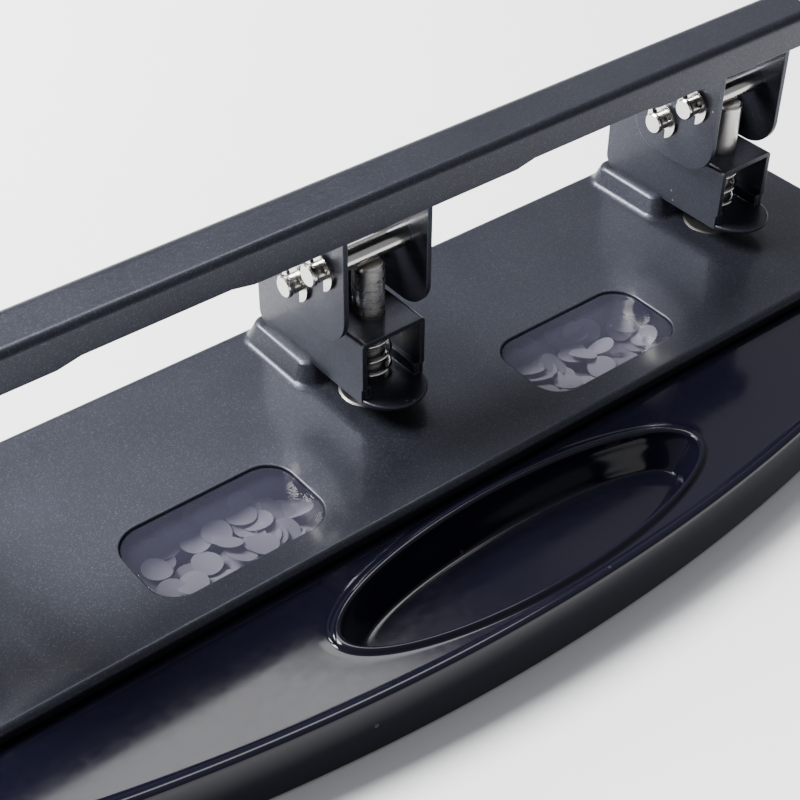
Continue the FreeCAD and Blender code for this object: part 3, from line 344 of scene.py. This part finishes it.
def bowed_loop(half, apex, bow, corner, back, heel):
    """Outline of the drawer seen from above, once round against the clock from its front left corner.

    The front is an arc of radius bow with its foremost point at apex, the sides are straight at plus
    and minus half, and the rear is straight at back. The front corners are arcs of radius corner that
    touch the bow and the side, and the rear corners are arcs of radius heel."""
    middle = apex + bow
    fillet_x = half - corner
    fillet_y = middle - math.sqrt((bow - corner) ** 2 - fillet_x ** 2)
    swing = math.atan2(fillet_x, middle - fillet_y)
    quarter = math.pi / 2
    heel_x, heel_y = half - heel, back - heel
    runs = [
        arc(0, middle, bow, -quarter - swing, -quarter + swing, BOW_STEPS),
        arc(fillet_x, fillet_y, corner, -quarter + swing, 0, CORNER_STEPS),
        straight((half, fillet_y), (half, heel_y), SIDE_STEPS),
        arc(heel_x, heel_y, heel, 0, quarter, HEEL_STEPS),
        straight((heel_x, back), (-heel_x, back), REAR_STEPS),
        arc(-heel_x, heel_y, heel, quarter, 2 * quarter, HEEL_STEPS),
        straight((-half, heel_y), (-half, fillet_y), SIDE_STEPS),
        arc(-fillet_x, fillet_y, corner, 2 * quarter, 3 * quarter - swing, CORNER_STEPS),
    ]
    return np.concatenate(runs)


def oval_loop(middle_y, long, wide, turn):
    """Ellipse seen from above, at the angles in turn."""
    return np.stack([long * np.cos(turn), middle_y + wide * np.sin(turn)], axis=-1)


def drawer_surface(sizes, low, high):
    """Rings of the drawer's front, from its centre underneath, out and round its skirt, to its top centre.

    Six loops are the stations 0 to 5: the outline, the ridge's foot, the bead's foot, the recess's
    edge, its floor's edge, and its centre. A ring lies a share of the way from one station's loop to
    the next, so the cross-section is a line of points (station, height), with its corners softened,
    and it goes once round the drawer. Along the rear the ridge fades out and the wall ends higher."""
    half, top, bottom = high[0], high[2], low[2]
    back, apex = high[1], low[1]
    level = top - sizes.sink
    bead = level + sizes.bead
    floor = sizes.recess_floor
    foot = sizes.ridge_foot
    outline = bowed_loop(half, apex, sizes.bow, sizes.corner, back, 1.0 * MM)
    ridge = bowed_loop(
        half - foot, apex + foot, sizes.bow - foot, sizes.corner - foot, back - 0.2 * MM, 0.9 * MM)
    long, wide, middle = sizes.recess_long, sizes.recess_wide, sizes.recess_y
    turn = np.arctan2((ridge[:, 1] - middle) / wide, ridge[:, 0] / long)
    stations = np.stack([
        outline,
        ridge,
        oval_loop(middle + 0.7 * MM, long + 3.0 * MM, wide + 2.7 * MM, turn),
        oval_loop(middle, long, wide, turn),
        oval_loop(middle, long - 4.5 * MM, wide - 3.8 * MM, turn),
        oval_loop(middle, 0.02 * MM, 0.02 * MM, turn),
    ])
    outside = soften(np.array([
        (0.13, bottom), (0.0, bottom), (0.0, bottom + 0.7 * MM), (0.0, top - 6 * MM),
        (0.0, top - 1.9 * MM), (0.02, top - 0.25 * MM), (0.42, top + 0.02 * MM), (0.68, top - 0.02 * MM),
        (0.95, level), (1.3, level), (1.8, level), (2.0, level), (2.2, level + 0.1 * MM),
        (2.45, bead), (2.78, bead + 0.1 * MM), (2.99, bead - 0.15 * MM), (3.06, level - 0.6 * MM),
        (3.3, level - 2.4 * MM), (3.7, floor + 2.2 * MM), (3.93, floor + 0.45 * MM), (4.02, floor),
        (4.12, floor), (4.5, floor), (4.9, floor),
    ]), 2)
    wall = sizes.wall
    share = wall / foot
    inside = np.array([
        (4.9, floor - wall), (3.95, floor - wall), (3.25, level - wall), (2.0, level - wall),
        (1.0, level - wall), (share, level - wall), (share, bottom + 4 * MM), (share, bottom),
    ])
    section = np.concatenate([inside, outside])
    station, height = section[:, 0], section[:, 1]
    before = np.minimum(station.astype(int), len(stations) - 2)
    along = (station - before)[:, None, None]
    plan = (1 - along) * stations[before] + along * stations[before + 1]
    front = np.clip((back - outline[:, 1]) / (1.2 * MM), 0, 1)[None, :]
    near_rim = (station < 1.5)[:, None]
    full = np.broadcast_to(height[:, None], plan.shape[:2])
    fade = level + (full - level) * front
    lifted = np.where(near_rim & (full > level), fade, full)
    free = sizes.passage * (1 - front) + bottom * front
    return np.concatenate([plan, np.maximum(lifted, free)[:, :, None]], axis=-1)


def box_surface(low, high, wall, round_inside):
    """Rings of an open box, from its centre underneath, up its outside and down its inside to its floor.

    Each ring is an oblong with rounded corners, and the section gives how far a ring stands inside the
    box's outline, its corner radius and its height. The first and last rings close on the middle."""
    half, y_half = high[0], (high[1] - low[1]) / 2
    middle, bottom, top = (high[1] + low[1]) / 2, low[2], high[2]
    inner = wall + round_inside
    bend = 0.3 * round_inside
    hem, lip, outer, inmost = 0.6 * MM, 0.3 * MM, 1.0 * MM, 0.2 * MM
    last = y_half - 0.5 * MM
    section = [
        (last, inmost, bottom), (hem, hem, bottom), (0.0, outer, bottom + 0.5 * MM),
        (0.0, outer, top - lip), (lip, outer, top), (wall - lip, 2.0 * MM, top),
        (wall, 2.4 * MM, top - lip), (wall, 2.4 * MM, bottom + inner),
        (wall + bend, 2.2 * MM, bottom + wall + bend),
        (inner, 2.0 * MM, bottom + wall), (last, inmost, bottom + wall),
    ]
    quarter = math.pi / 2
    corners = ((1, 1, 0.0), (-1, 1, quarter), (-1, -1, 2 * quarter), (1, -1, 3 * quarter))
    rings = []
    for inset, corner, height in section:
        x, y = half - inset - corner, y_half - inset - corner
        runs = [arc(x * sx, middle + y * sy, corner, start, start + quarter, BOX_CORNER_STEPS)
                for sx, sy, start in corners]
        loop = np.concatenate(runs)
        rings.append(np.concatenate([loop, np.full((len(loop), 1), height)], axis=-1))
    return np.stack(rings)


def coil_surface(place, radius, wire, low, high, turns, closed):
    """Round wire along a helix about the upright line through place.

    The angle grows evenly along the wire. The height gains one wire diameter a turn in the closed
    turns at both ends, and evenly more between them, so that the coil just fills low to high."""
    turn = np.linspace(0, turns, int(turns * STEPS_PER_TURN) + 1)
    easing = 0.5
    open_share = np.clip((turn - closed) / easing, 0, 1) * np.clip((turns - closed - turn) / easing, 0, 1)
    step = turn[1] - turn[0]
    spare = (high - low - wire) - wire * turns
    slope = wire + open_share * spare / (open_share.sum() * step)
    height = low + wire / 2 + np.concatenate([[0], np.cumsum((slope[1:] + slope[:-1]) / 2 * step)])
    height = low + wire / 2 + (height - height[0]) * (high - low - wire) / (height[-1] - height[0])
    angle = 2 * math.pi * turn
    zero = np.zeros_like(angle)
    radial = np.stack([np.cos(angle), np.sin(angle), zero], axis=-1)
    tangent = np.stack([-radius * np.sin(angle), radius * np.cos(angle), slope / (2 * math.pi)], axis=-1)
    tangent /= np.linalg.norm(tangent, axis=-1, keepdims=True)
    across = np.cross(tangent, radial)
    foot = np.array([place[0], place[1], 0])
    centre = foot + radius * radial + np.stack([zero, zero, height], axis=-1)
    around = np.linspace(0, 2 * math.pi, WIRE_SIDES, endpoint=False)[None, :, None]
    outward = np.cos(around) * radial[:, None] + np.sin(around) * across[:, None]
    return centre[:, None] + wire / 2 * outward


def chip_surface(places, headings, tilts, leans, radius, thickness, curl):
    """Many thin discs, each curled to a shallow trough whose height grows with the square of one
    coordinate, then turned, tilted and set at its place."""
    sides = CHIP_SIDES
    angle = np.linspace(0, 2 * math.pi, sides, endpoint=False)
    flat_x = np.concatenate([[0], radius * np.cos(angle), radius * np.cos(angle), [0]])
    flat_y = np.concatenate([[0], radius * np.sin(angle), radius * np.sin(angle), [0]])
    upper = np.concatenate([np.full(sides + 1, 0.5), np.full(sides + 1, -0.5)]) * thickness
    flat = np.stack([flat_x, flat_y, upper + curl * (flat_x / radius) ** 2], axis=-1)

    def turned(angles, first, second):
        c, s = np.cos(angles), np.sin(angles)
        turn = np.tile(np.eye(3), (len(angles), 1, 1))
        turn[:, first, first], turn[:, first, second] = c, -s
        turn[:, second, first], turn[:, second, second] = s, c
        return turn

    whole = turned(leans, 1, 2) @ turned(tilts, 0, 2) @ turned(headings, 0, 1)
    points = np.einsum("nij,pj->npi", whole, flat) + places[:, None]
    here = np.arange(sides)
    after = (here + 1) % sides
    top = np.stack([np.zeros(sides, int), 1 + here, 1 + after], axis=-1)
    last = 2 * sides + 1
    bottom = np.stack([np.full(sides, last), 1 + sides + after, 1 + sides + here], axis=-1)
    rim = np.stack([1 + sides + here, 1 + sides + after, 1 + after, 1 + here], axis=-1)
    start = (np.arange(len(places)) * (last + 1))[:, None, None]
    faces = [(start + block).reshape(-1, block.shape[1]) for block in (top, bottom, rim)]
    return points, faces


# ---------------------------------------------------------------- shader groups

def new_group(name, inputs, outputs):
    """Shader node group with named inputs (name, kind, value) and outputs (name, kind)."""
    group = bpy.data.node_groups.new(name, "ShaderNodeTree")
    for label, kind, value in inputs:
        socket = group.interface.new_socket(name=label, in_out="INPUT", socket_type=kind)
        socket.default_value = value
    for label, kind in outputs:
        group.interface.new_socket(name=label, in_out="OUTPUT", socket_type=kind)
    return group, group.nodes.new("NodeGroupInput").outputs, group.nodes.new("NodeGroupOutput").inputs


def add_node(tree, kind, links=None, **settings):
    """Node of a kind with its settings; links gives input sockets a number, a colour or another socket."""
    node = tree.nodes.new(kind)
    for key, value in settings.items():
        setattr(node, key, value)
    for key, value in (links or {}).items():
        if isinstance(value, bpy.types.NodeSocket):
            tree.links.new(value, node.inputs[key])
        else:
            node.inputs[key].default_value = value
    return node


def reckon(tree, kind, a, b):
    """Output of a Math node of a kind, on two numbers or sockets."""
    return add_node(tree, "ShaderNodeMath", {0: a, 1: b}, operation=kind).outputs[0]


def between(tree, value, from_low, from_high, to_low, to_high):
    """Value carried from one span to another, held at its ends."""
    links = {
        "Value": value, "From Min": from_low, "From Max": from_high, "To Min": to_low, "To Max": to_high,
    }
    return add_node(tree, "ShaderNodeMapRange", links).outputs["Result"]


def flake_group():
    """Metal flakes in a clear coat: cells of random brightness, and the tilt that each flake has."""
    group, given, out = new_group(
        "Flake Coat",
        [("Scale", "NodeSocketFloat", 4000.0), ("Share", "NodeSocketFloat", 0.2)],
        [("Sparkle", "NodeSocketFloat"), ("Mottle", "NodeSocketFloat"), ("Height", "NodeSocketFloat")])
    place = add_node(group, "ShaderNodeTexCoord").outputs["Object"]
    cells = add_node(group, "ShaderNodeTexVoronoi", {"Vector": place, "Scale": given["Scale"]})
    level = add_node(group, "ShaderNodeSeparateColor", {"Color": cells.outputs["Color"]})
    start = reckon(group, "SUBTRACT", 1.0, given["Share"])
    bright = between(group, level.outputs["Red"], start, 1.0, 0.0, 1.0)
    core = between(group, cells.outputs["Distance"], 0.25, 0.55, 1.0, 0.0)
    group.links.new(reckon(group, "MULTIPLY", bright, core), out["Sparkle"])
    links = {"Vector": place, "Scale": 900.0, "Detail": 3.0, "Roughness": 0.6}
    cloud = add_node(group, "ShaderNodeTexNoise", links)
    group.links.new(cloud.outputs["Fac"], out["Mottle"])
    group.links.new(level.outputs["Green"], out["Height"])
    return group


def fold_group():
    """Folds and cut edges of painted parts: a normal that rounds them over, and a mask along them where a
    highlight is painted.
    """
    group, given, out = new_group(
        "Rounded Edge", [("Radius", "NodeSocketFloat", 0.0003)],
        [("Normal", "NodeSocketVector"), ("Mask", "NodeSocketFloat")])
    rounded = add_node(group, "ShaderNodeBevel", {"Radius": given["Radius"]}).outputs["Normal"]
    plain = add_node(group, "ShaderNodeNewGeometry").outputs["Normal"]
    agree = add_node(group, "ShaderNodeVectorMath", {0: rounded, 1: plain}, operation="DOT_PRODUCT")
    group.links.new(rounded, out["Normal"])
    group.links.new(between(group, agree.outputs["Value"], 0.995, 0.85, 0.0, 1.0), out["Mask"])
    return group


def grain_group():
    """Uneven gloss of a worked surface: broad clouds, and fine lines drawn along one direction."""
    group, given, out = new_group(
        "Worked Grain",
        [("Stretch", "NodeSocketVector", (1.0, 1.0, 1.0)), ("Scale", "NodeSocketFloat", 1500.0),
         ("Low", "NodeSocketFloat", 0.2), ("High", "NodeSocketFloat", 0.4)],
        [("Roughness", "NodeSocketFloat"), ("Height", "NodeSocketFloat"), ("Cloud", "NodeSocketFloat")])
    place = add_node(group, "ShaderNodeTexCoord").outputs["Object"]
    drawn = add_node(group, "ShaderNodeVectorMath", {0: place, 1: given["Stretch"]}, operation="MULTIPLY")
    links = {"Vector": drawn.outputs[0], "Scale": given["Scale"], "Detail": 4.0}
    lines = add_node(group, "ShaderNodeTexNoise", links)
    cloud = add_node(group, "ShaderNodeTexNoise", {"Vector": place, "Scale": 60.0, "Detail": 2.0})
    both = reckon(group, "ADD", lines.outputs["Fac"], reckon(group, "MULTIPLY", cloud.outputs["Fac"], 0.6))
    group.links.new(between(group, both, 0.6, 1.0, given["Low"], given["High"]), out["Roughness"])
    group.links.new(lines.outputs["Fac"], out["Height"])
    group.links.new(cloud.outputs["Fac"], out["Cloud"])
    return group


def dust_group():
    """Sparse specks of dust: the middle of a few cells only."""
    group, given, out = new_group(
        "Dust Specks",
        [("Scale", "NodeSocketFloat", 700.0), ("Share", "NodeSocketFloat", 0.05)],
        [("Mask", "NodeSocketFloat")])
    place = add_node(group, "ShaderNodeTexCoord").outputs["Object"]
    cells = add_node(group, "ShaderNodeTexVoronoi", {"Vector": place, "Scale": given["Scale"]})
    pick = add_node(group, "ShaderNodeSeparateColor", {"Color": cells.outputs["Color"]}).outputs["Blue"]
    chosen = reckon(group, "LESS_THAN", pick, given["Share"])
    dot = between(group, cells.outputs["Distance"], 0.06, 0.16, 1.0, 0.0)
    group.links.new(reckon(group, "MULTIPLY", chosen, dot), out["Mask"])
    return group


def group_named(name):
    """The shader group of that name, made the first time it is asked for."""
    makers = {
        "Flake Coat": flake_group, "Rounded Edge": fold_group,
        "Worked Grain": grain_group, "Dust Specks": dust_group,
    }
    return bpy.data.node_groups.get(name) or makers[name]()


def shared(tree, name, **values):
    """Place a shared group in a material, with this material's values for its inputs."""
    node = tree.nodes.new("ShaderNodeGroup")
    node.node_tree = group_named(name)
    for key, value in values.items():
        node.inputs[key.title()].default_value = value
    return node.outputs


# ---------------------------------------------------------------- materials

def new_material(name, **plain):
    """Material with a Principled shader, whose plain sockets get these values."""
    material = bpy.data.materials.new(name)
    material.use_nodes = True
    tree = material.node_tree
    shader = tree.nodes["Principled BSDF"]
    for key, value in plain.items():
        shader.inputs[key.replace("_", " ").title().replace("Ior", "IOR")].default_value = value
    return material, tree, shader


def colour(rgb):
    """A colour with full alpha."""
    return (*rgb, 1.0)


def shaded(rgb, share):
    """A colour at a share of its brightness, with full alpha."""
    return colour([share * c for c in rgb])


def mixed(tree, share, a, b):
    """Colour between a and b."""
    links = {MIX_SHARE: share, MIX_A: a, MIX_B: b}
    return add_node(tree, "ShaderNodeMix", links, data_type="RGBA").outputs[MIX_RESULT]


def overlaid(tree, mask, cover, ground, rgb):
    """Ground colour with another over it, where the mask says and as densely as cover."""
    return mixed(tree, reckon(tree, "MULTIPLY", mask, cover), ground, colour(rgb))


def dusted(tree, ground, rgb, cover, **values):
    """Ground colour with sparse specks of dust over it."""
    return overlaid(tree, shared(tree, "Dust Specks", **values)["Mask"], cover, ground, rgb)


def grained(tree, shader, **values):
    """Worked grain that sets the shader's roughness; its other outputs are handed back."""
    grain = shared(tree, "Worked Grain", **values)
    tree.links.new(grain["Roughness"], shader.inputs["Roughness"])
    return grain


def bump(tree, shader, height, strength, depth, normal=None):
    """Raise a shader's surface by a height socket."""
    node = add_node(tree, "ShaderNodeBump", {"Height": height, "Strength": strength, "Distance": depth})
    if normal is not None:
        tree.links.new(normal, node.inputs["Normal"])
    tree.links.new(node.outputs["Normal"], shader.inputs["Normal"])


def metallic_paint(looks):
    """Blue-grey coat with fine flakes under a thin clear layer, and a painted highlight along the folds."""
    material, tree, shader = new_material(
        "Blue Grey Metallic Paint", metallic=0.75, coat_weight=0.15, coat_roughness=0.12)
    flakes = shared(tree, "Flake Coat", scale=1 / looks.flake_size, share=0.3)
    folds = shared(tree, "Rounded Edge", radius=0.35 * MM)
    grained(tree, shader, scale=1400.0, low=looks.paint_gloss - 0.05, high=looks.paint_gloss + 0.07)
    ground = mixed(tree, flakes["Mottle"], shaded(looks.paint, 0.80), colour(looks.paint))
    sparkling = overlaid(tree, flakes["Sparkle"], 0.32, ground, looks.flake_and_edge_highlight)
    # painted highlight: the lighter flake colour laid along the rounded folds and cut edges
    edge_highlighted = overlaid(tree, folds["Mask"], 0.45, sparkling, looks.flake_and_edge_highlight)
    dusty = dusted(tree, edge_highlighted, (0.5, 0.5, 0.52), 0.25, scale=420.0, share=0.035)
    tree.links.new(dusty, shader.inputs["Base Color"])
    bump(tree, shader, flakes["Height"], 0.08, 0.04 * MM, folds["Normal"])
    return material


def gloss_plastic(looks):
    """Near-black polished moulding with a faint unevenness of gloss and a few specks of dust."""
    material, tree, shader = new_material(
        "Gloss Black Plastic", metallic=0.0, ior=1.50, specular_ior_level=0.25)
    grain = grained(tree, shader, scale=500.0, low=0.08, high=0.12)
    dusty = dusted(tree, colour(looks.plastic), (0.4, 0.4, 0.42), 0.10, scale=260.0, share=0.03)
    tree.links.new(dusty, shader.inputs["Base Color"])
    bump(tree, shader, grain["Cloud"], 0.02, 0.2 * MM)
    return material


def worked_steel(name, rgb, stretch, low, high, lines):
    """Bare steel whose gloss follows the lines that its making left."""
    material, tree, shader = new_material(name, metallic=1.0)
    grain = grained(tree, shader, stretch=stretch, scale=1800.0, low=low, high=high)
    tree.links.new(mixed(tree, grain["Cloud"], shaded(rgb, 0.72), colour(rgb)), shader.inputs["Base Color"])
    bump(tree, shader, grain["Height"], lines, 0.03 * MM)
    return material


def foot_rubber(looks):
    """Matt rubber with a fine moulded grain."""
    material, tree, shader = new_material("Foot Rubber", metallic=0.0)
    grain = grained(tree, shader, scale=3000.0, low=0.72, high=0.9)
    cloudy = mixed(tree, grain["Cloud"], colour(looks.rubber), shaded(looks.rubber, 1.7))
    tree.links.new(cloudy, shader.inputs["Base Color"])
    bump(tree, shader, grain["Height"], 0.4, 0.1 * MM)
    return material


def smoky_pane(looks):
    """Moulded pane: a thin smoky veil with a polished face."""
    material, tree, shader = new_material("Smoky Pane", metallic=0.0, ior=1.49, specular_ior_level=0.3)
    grain = grained(tree, shader, scale=400.0, low=0.05, high=0.09)
    veil = between(tree, grain["Cloud"], 0.3, 0.7, looks.pane_cover - 0.03, looks.pane_cover + 0.03)
    dusty = dusted(tree, colour(looks.pane), (0.5, 0.5, 0.55), 0.3, scale=350.0, share=0.05)
    tree.links.new(dusty, shader.inputs["Base Color"])
    tree.links.new(veil, shader.inputs["Alpha"])
    return material


def chip_paper(looks):
    """Office paper with a faint fibre cloud."""
    material, tree, shader = new_material("Chip Paper", metallic=0.0)
    grain = grained(tree, shader, scale=2600.0, low=0.7, high=0.85)
    fibres = mixed(tree, grain["Height"], shaded(looks.paper, 0.86), colour(looks.paper))
    tree.links.new(fibres, shader.inputs["Base Color"])
    bump(tree, shader, grain["Height"], 0.2, 0.05 * MM)
    return material


def stage_floor(rgb):
    """Pale sheet with a barely uneven tone."""
    material, tree, shader = new_material("Pale Floor", metallic=0.0, roughness=0.7)
    place = add_node(tree, "ShaderNodeTexCoord").outputs["Object"]
    cloud = add_node(tree, "ShaderNodeTexNoise", {"Vector": place, "Scale": 30.0, "Detail": 4.0})
    uneven = mixed(tree, cloud.outputs["Fac"], shaded(rgb, 0.985), colour(rgb))
    tree.links.new(uneven, shader.inputs["Base Color"])
    return material


def dress(nodes, material):
    """Give carried-over parts their material."""
    for name in nodes:
        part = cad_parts[name]
        if not part.material_slots:
            part.data.materials.append(material)
        for slot in part.material_slots:
            slot.material = material


# ---------------------------------------------------------------- operators

class PUNCH_OT_paint_steel(bpy.types.Operator):
    """Coat the pressed steel cover, brackets, guide plates, yokes and lever with metallic paint"""

    bl_idname = "punch.paint_steel"
    bl_label = "Paint Pressed Steel"

    def execute(self, context):
        dress(PAINTED, metallic_paint(context.scene.punch_finishes))
        return {"FINISHED"}


class PUNCH_OT_finish_steel(bpy.types.Operator):
    """Give the pins, clips, punches, dies and fixings their turned, ground or plated steel"""

    bl_idname = "punch.finish_steel"
    bl_label = "Finish Bare Steel"

    def execute(self, context):
        looks = context.scene.punch_finishes
        dress(TURNED, worked_steel(
            "Turned Steel", looks.steel, stretch=(1.6, 0.1, 0.1), low=0.15, high=0.24, lines=0.03))
        dress(GROUND, worked_steel(
            "Ground Tool Steel", looks.tool, stretch=(0.1, 0.1, 1.6), low=0.24, high=0.34, lines=0.02))
        dress(PLATED, worked_steel(
            "Zinc Plate", looks.zinc, stretch=(0.3, 0.3, 0.3), low=0.30, high=0.48, lines=0.3))
        return {"FINISHED"}


class PUNCH_OT_finish_feet(bpy.types.Operator):
    """Give the feet their rubber"""

    bl_idname = "punch.finish_feet"
    bl_label = "Finish Feet"

    def execute(self, context):
        dress(["rubber_feet"], foot_rubber(context.scene.punch_finishes))
        return {"FINISHED"}


class PUNCH_OT_finish_panes(bpy.types.Operator):
    """Give the two window panes their smoky tint"""

    bl_idname = "punch.finish_panes"
    bl_label = "Finish Window Panes"

    def execute(self, context):
        dress([f"window_pane_{side}" for side in SIDES], smoky_pane(context.scene.punch_finishes))
        return {"FINISHED"}


class PUNCH_OT_make_drawer(bpy.types.Operator):
    """Make the drawer's bowed front with its ridge, bead and finger recess, and finish its chip box"""

    bl_idname = "punch.make_drawer"
    bl_label = "Make Drawer"

    def execute(self, context):
        plastic = gloss_plastic(context.scene.punch_finishes)
        low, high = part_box("tray_front")
        rings = drawer_surface(context.scene.punch_drawer, low, high)
        piece = add_rings("drawer_front", rings, plastic, "chip_tray", CREASE)
        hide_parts("tray_front")

        boxes = [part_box(name) for name in CHIP_BOX]
        low = [min(box[0][axis] for box in boxes) for axis in range(3)]
        high = [max(box[1][axis] for box in boxes) for axis in range(3)]
        rings = box_surface(low, high, CHIP_BOX_WALL, CHIP_BOX_ROOT)
        piece = add_rings("chip_box", rings, plastic, "chip_tray", BOX_CREASE)
        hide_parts(*CHIP_BOX)
        return {"FINISHED"}


class PUNCH_OT_make_springs(bpy.types.Operator):
    """Wind the three return springs; the wound coils keep one length, though the real springs flatten as
    the punches go down
    """

    bl_idname = "punch.make_springs"
    bl_label = "Make Springs"

    def execute(self, context):
        sizes = context.scene.punch_springs
        looks = context.scene.punch_finishes
        drawn_steel = worked_steel(
            "Spring Wire", looks.steel, stretch=(1.0, 1.0, 1.0), low=0.12, high=0.24, lines=0.15)
        for head in HEADS:
            low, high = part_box(f"punch_spring_{head}")
            place = (low + high) / 2
            radius = (high[1] - low[1] - sizes.wire) / 2
            coil = coil_surface(place, radius, sizes.wire, low[2], high[2], sizes.turns, sizes.closed)
            piece = add_rings(f"return_spring_{head}", coil, drawn_steel, "base", CREASE)
            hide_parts(f"punch_spring_{head}")
            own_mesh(piece)
        return {"FINISHED"}


class PUNCH_OT_make_chips(bpy.types.Operator):
    """Fill the chip box with punched paper chips, heaped under the two windows"""

    bl_idname = "punch.make_chips"
    bl_label = "Make Paper Chips"

    def execute(self, context):
        sizes = context.scene.punch_chips
        rng = np.random.default_rng(sizes.seed)
        low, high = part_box("chip_floor")
        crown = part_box("chip_wall_back")[1][2] - CHIP_HEADROOM
        ground = high[2] + CHIP_CLEARANCE
        spots = []
        for side in SIDES:
            pane_low, pane_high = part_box(f"window_pane_{side}")
            middle = (pane_low + pane_high) / 2
            distance = np.sqrt(rng.random(sizes.heap))
            bearing = rng.random(sizes.heap) * 2 * math.pi
            x = middle[0] + HEAP_MIDDLE[0] + HEAP_REACH[0] * distance * np.cos(bearing)
            y = middle[1] + HEAP_MIDDLE[1] + HEAP_REACH[1] * distance * np.sin(bearing)
            depth = (crown - ground) * (1 - 0.45 * distance ** 2)
            height = ground + depth * rng.random(sizes.heap) ** 0.6
            spots.append(np.stack([x, np.maximum(y, low[1] + CHIP_MARGIN), height], axis=-1))
        loose = np.stack([
            rng.uniform(low[0] + CHIP_MARGIN, high[0] - CHIP_MARGIN, sizes.loose),
            rng.uniform(low[1] + CHIP_MARGIN, high[1] - CHIP_MARGIN, sizes.loose),
            ground + rng.random(sizes.loose) * LOOSE_DEPTH,
        ], axis=-1)
        places = np.concatenate([*spots, loose])
        count = len(places)
        steep = np.clip((places[:, 2] - ground) / STEEP_DEPTH, 0.1, 1)
        headings = rng.random(count) * 2 * math.pi
        tilts = rng.normal(0, TILT_SPREAD, count).clip(-TILT_LIMIT, TILT_LIMIT) * steep
        leans = rng.normal(0, TILT_SPREAD, count).clip(-TILT_LIMIT, TILT_LIMIT) * steep
        points, faces = chip_surface(
            places, headings, tilts, leans, sizes.diameter / 2, sizes.thickness, sizes.curl)
        paper = chip_paper(context.scene.punch_finishes)
        add_piece("paper_chips", points, faces, paper, "chip_tray", BOX_CREASE)
        return {"FINISHED"}


class PUNCH_OT_set_stage(bpy.types.Operator):
    """Set the pale floor, the soft lights and the camera"""

    bl_idname = "punch.set_stage"
    bl_label = "Set Stage"

    def execute(self, context):
        stage = context.scene.punch_stage
        floor_mesh = bpy.data.meshes.new("floor")
        corners = ((-1, -1), (1, -1), (1, 1), (-1, 1))
        floor_mesh.from_pydata(
            [(FLOOR_REACH * x, FLOOR_REACH * y, 0) for x, y in corners], [], [(0, 1, 2, 3)])
        floor_mesh.materials.append(stage_floor(stage.floor))
        floor = bpy.data.objects.new("floor", floor_mesh)
        context.scene.collection.objects.link(floor)

        world = bpy.data.worlds.new("studio")
        world.use_nodes = True
        room = world.node_tree.nodes["Background"].inputs
        room["Color"].default_value = ROOM_TINT
        room["Strength"].default_value = stage.sky
        context.scene.world = world

        for name, place, aim, spread, setting in LIGHTS:
            softbox(name, place, aim, spread, getattr(stage, setting))
        place_camera(context, stage)
        return {"FINISHED"}


def softbox(name, place, aim, spread, power):
    """Oval soft light at a place, turned to face a point."""
    light = bpy.data.lights.new(name, "AREA")
    light.shape = "ELLIPSE"
    light.size, light.size_y = spread
    light.energy = power
    lamp = bpy.data.objects.new(name, light)
    bpy.context.scene.collection.objects.link(lamp)
    start = np.array(place, float)
    towards = np.array(aim, float) - start
    towards /= np.linalg.norm(towards)
    across = np.cross(towards, (0, 0, 1))
    across /= np.linalg.norm(across)
    set_axes(lamp, across, np.cross(across, towards), -towards, start)


def set_axes(thing, x_axis, y_axis, z_axis, place):
    """Stand a light or the camera on three axes at a place."""
    matrix = np.eye(4)
    matrix[:3, 0], matrix[:3, 1], matrix[:3, 2], matrix[:3, 3] = x_axis, y_axis, z_axis, place
    thing.matrix_world = Matrix(matrix.tolist())


def place_camera(context, stage):
    """Camera that looks back, to the right and down, with a slight roll."""
    a, e, roll = stage.azimuth, stage.elevation, stage.roll
    ahead = np.array([math.sin(a) * math.cos(e), math.cos(a) * math.cos(e), -math.sin(e)])
    right = np.array([math.cos(a), -math.sin(a), 0.0])
    up = np.cross(right, ahead)
    x_axis = right * math.cos(roll) + up * math.sin(roll)
    y_axis = up * math.cos(roll) - right * math.sin(roll)
    data = bpy.data.cameras.new("camera")
    data.lens = stage.lens
    data.sensor_width = 36.0
    data.clip_start = 0.01
    camera = bpy.data.objects.new("camera", data)
    context.scene.collection.objects.link(camera)
    set_axes(camera, x_axis, y_axis, -ahead, np.array(stage.camera_place))
    context.scene.camera = camera


# ---------------------------------------------------------------- sidebar and registration

OPERATORS = (
    PUNCH_OT_paint_steel,
    PUNCH_OT_finish_steel,
    PUNCH_OT_finish_feet,
    PUNCH_OT_finish_panes,
    PUNCH_OT_make_drawer,
    PUNCH_OT_make_springs,
    PUNCH_OT_make_chips,
    PUNCH_OT_set_stage,
)
SETTINGS = {
    "punch_finishes": PunchFinishes,
    "punch_drawer": DrawerSizes,
    "punch_springs": SpringSizes,
    "punch_chips": ChipSizes,
    "punch_stage": StageSettings,
}


class PUNCH_PT_sidebar(bpy.types.Panel):
    """Sizes, finishes and steps of the paper punch."""

    bl_idname = "PUNCH_PT_sidebar"
    bl_label = "Paper Punch"
    bl_space_type = "VIEW_3D"
    bl_region_type = "UI"
    bl_category = "Punch"

    def draw(self, context):
        for operator in OPERATORS:
            self.layout.operator(operator.bl_idname)
        for name, kind in SETTINGS.items():
            box = self.layout.box()
            box.label(text=kind.__doc__)
            for field in kind.__annotations__:
                box.prop(getattr(context.scene, name), field)


def register():
    for kind in (*SETTINGS.values(), *OPERATORS, PUNCH_PT_sidebar):
        bpy.utils.register_class(kind)
    for name, kind in SETTINGS.items():
        setattr(bpy.types.Scene, name, PointerProperty(type=kind))


def unregister():
    for name in SETTINGS:
        delattr(bpy.types.Scene, name)
    for kind in (PUNCH_PT_sidebar, *reversed(OPERATORS), *reversed(SETTINGS.values())):
        bpy.utils.unregister_class(kind)


def main():
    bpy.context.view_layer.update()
    register()
    for operator in OPERATORS:
        family, name = operator.bl_idname.split(".")
        getattr(getattr(bpy.ops, family), name)()


if __name__ == "__main__":
    main()
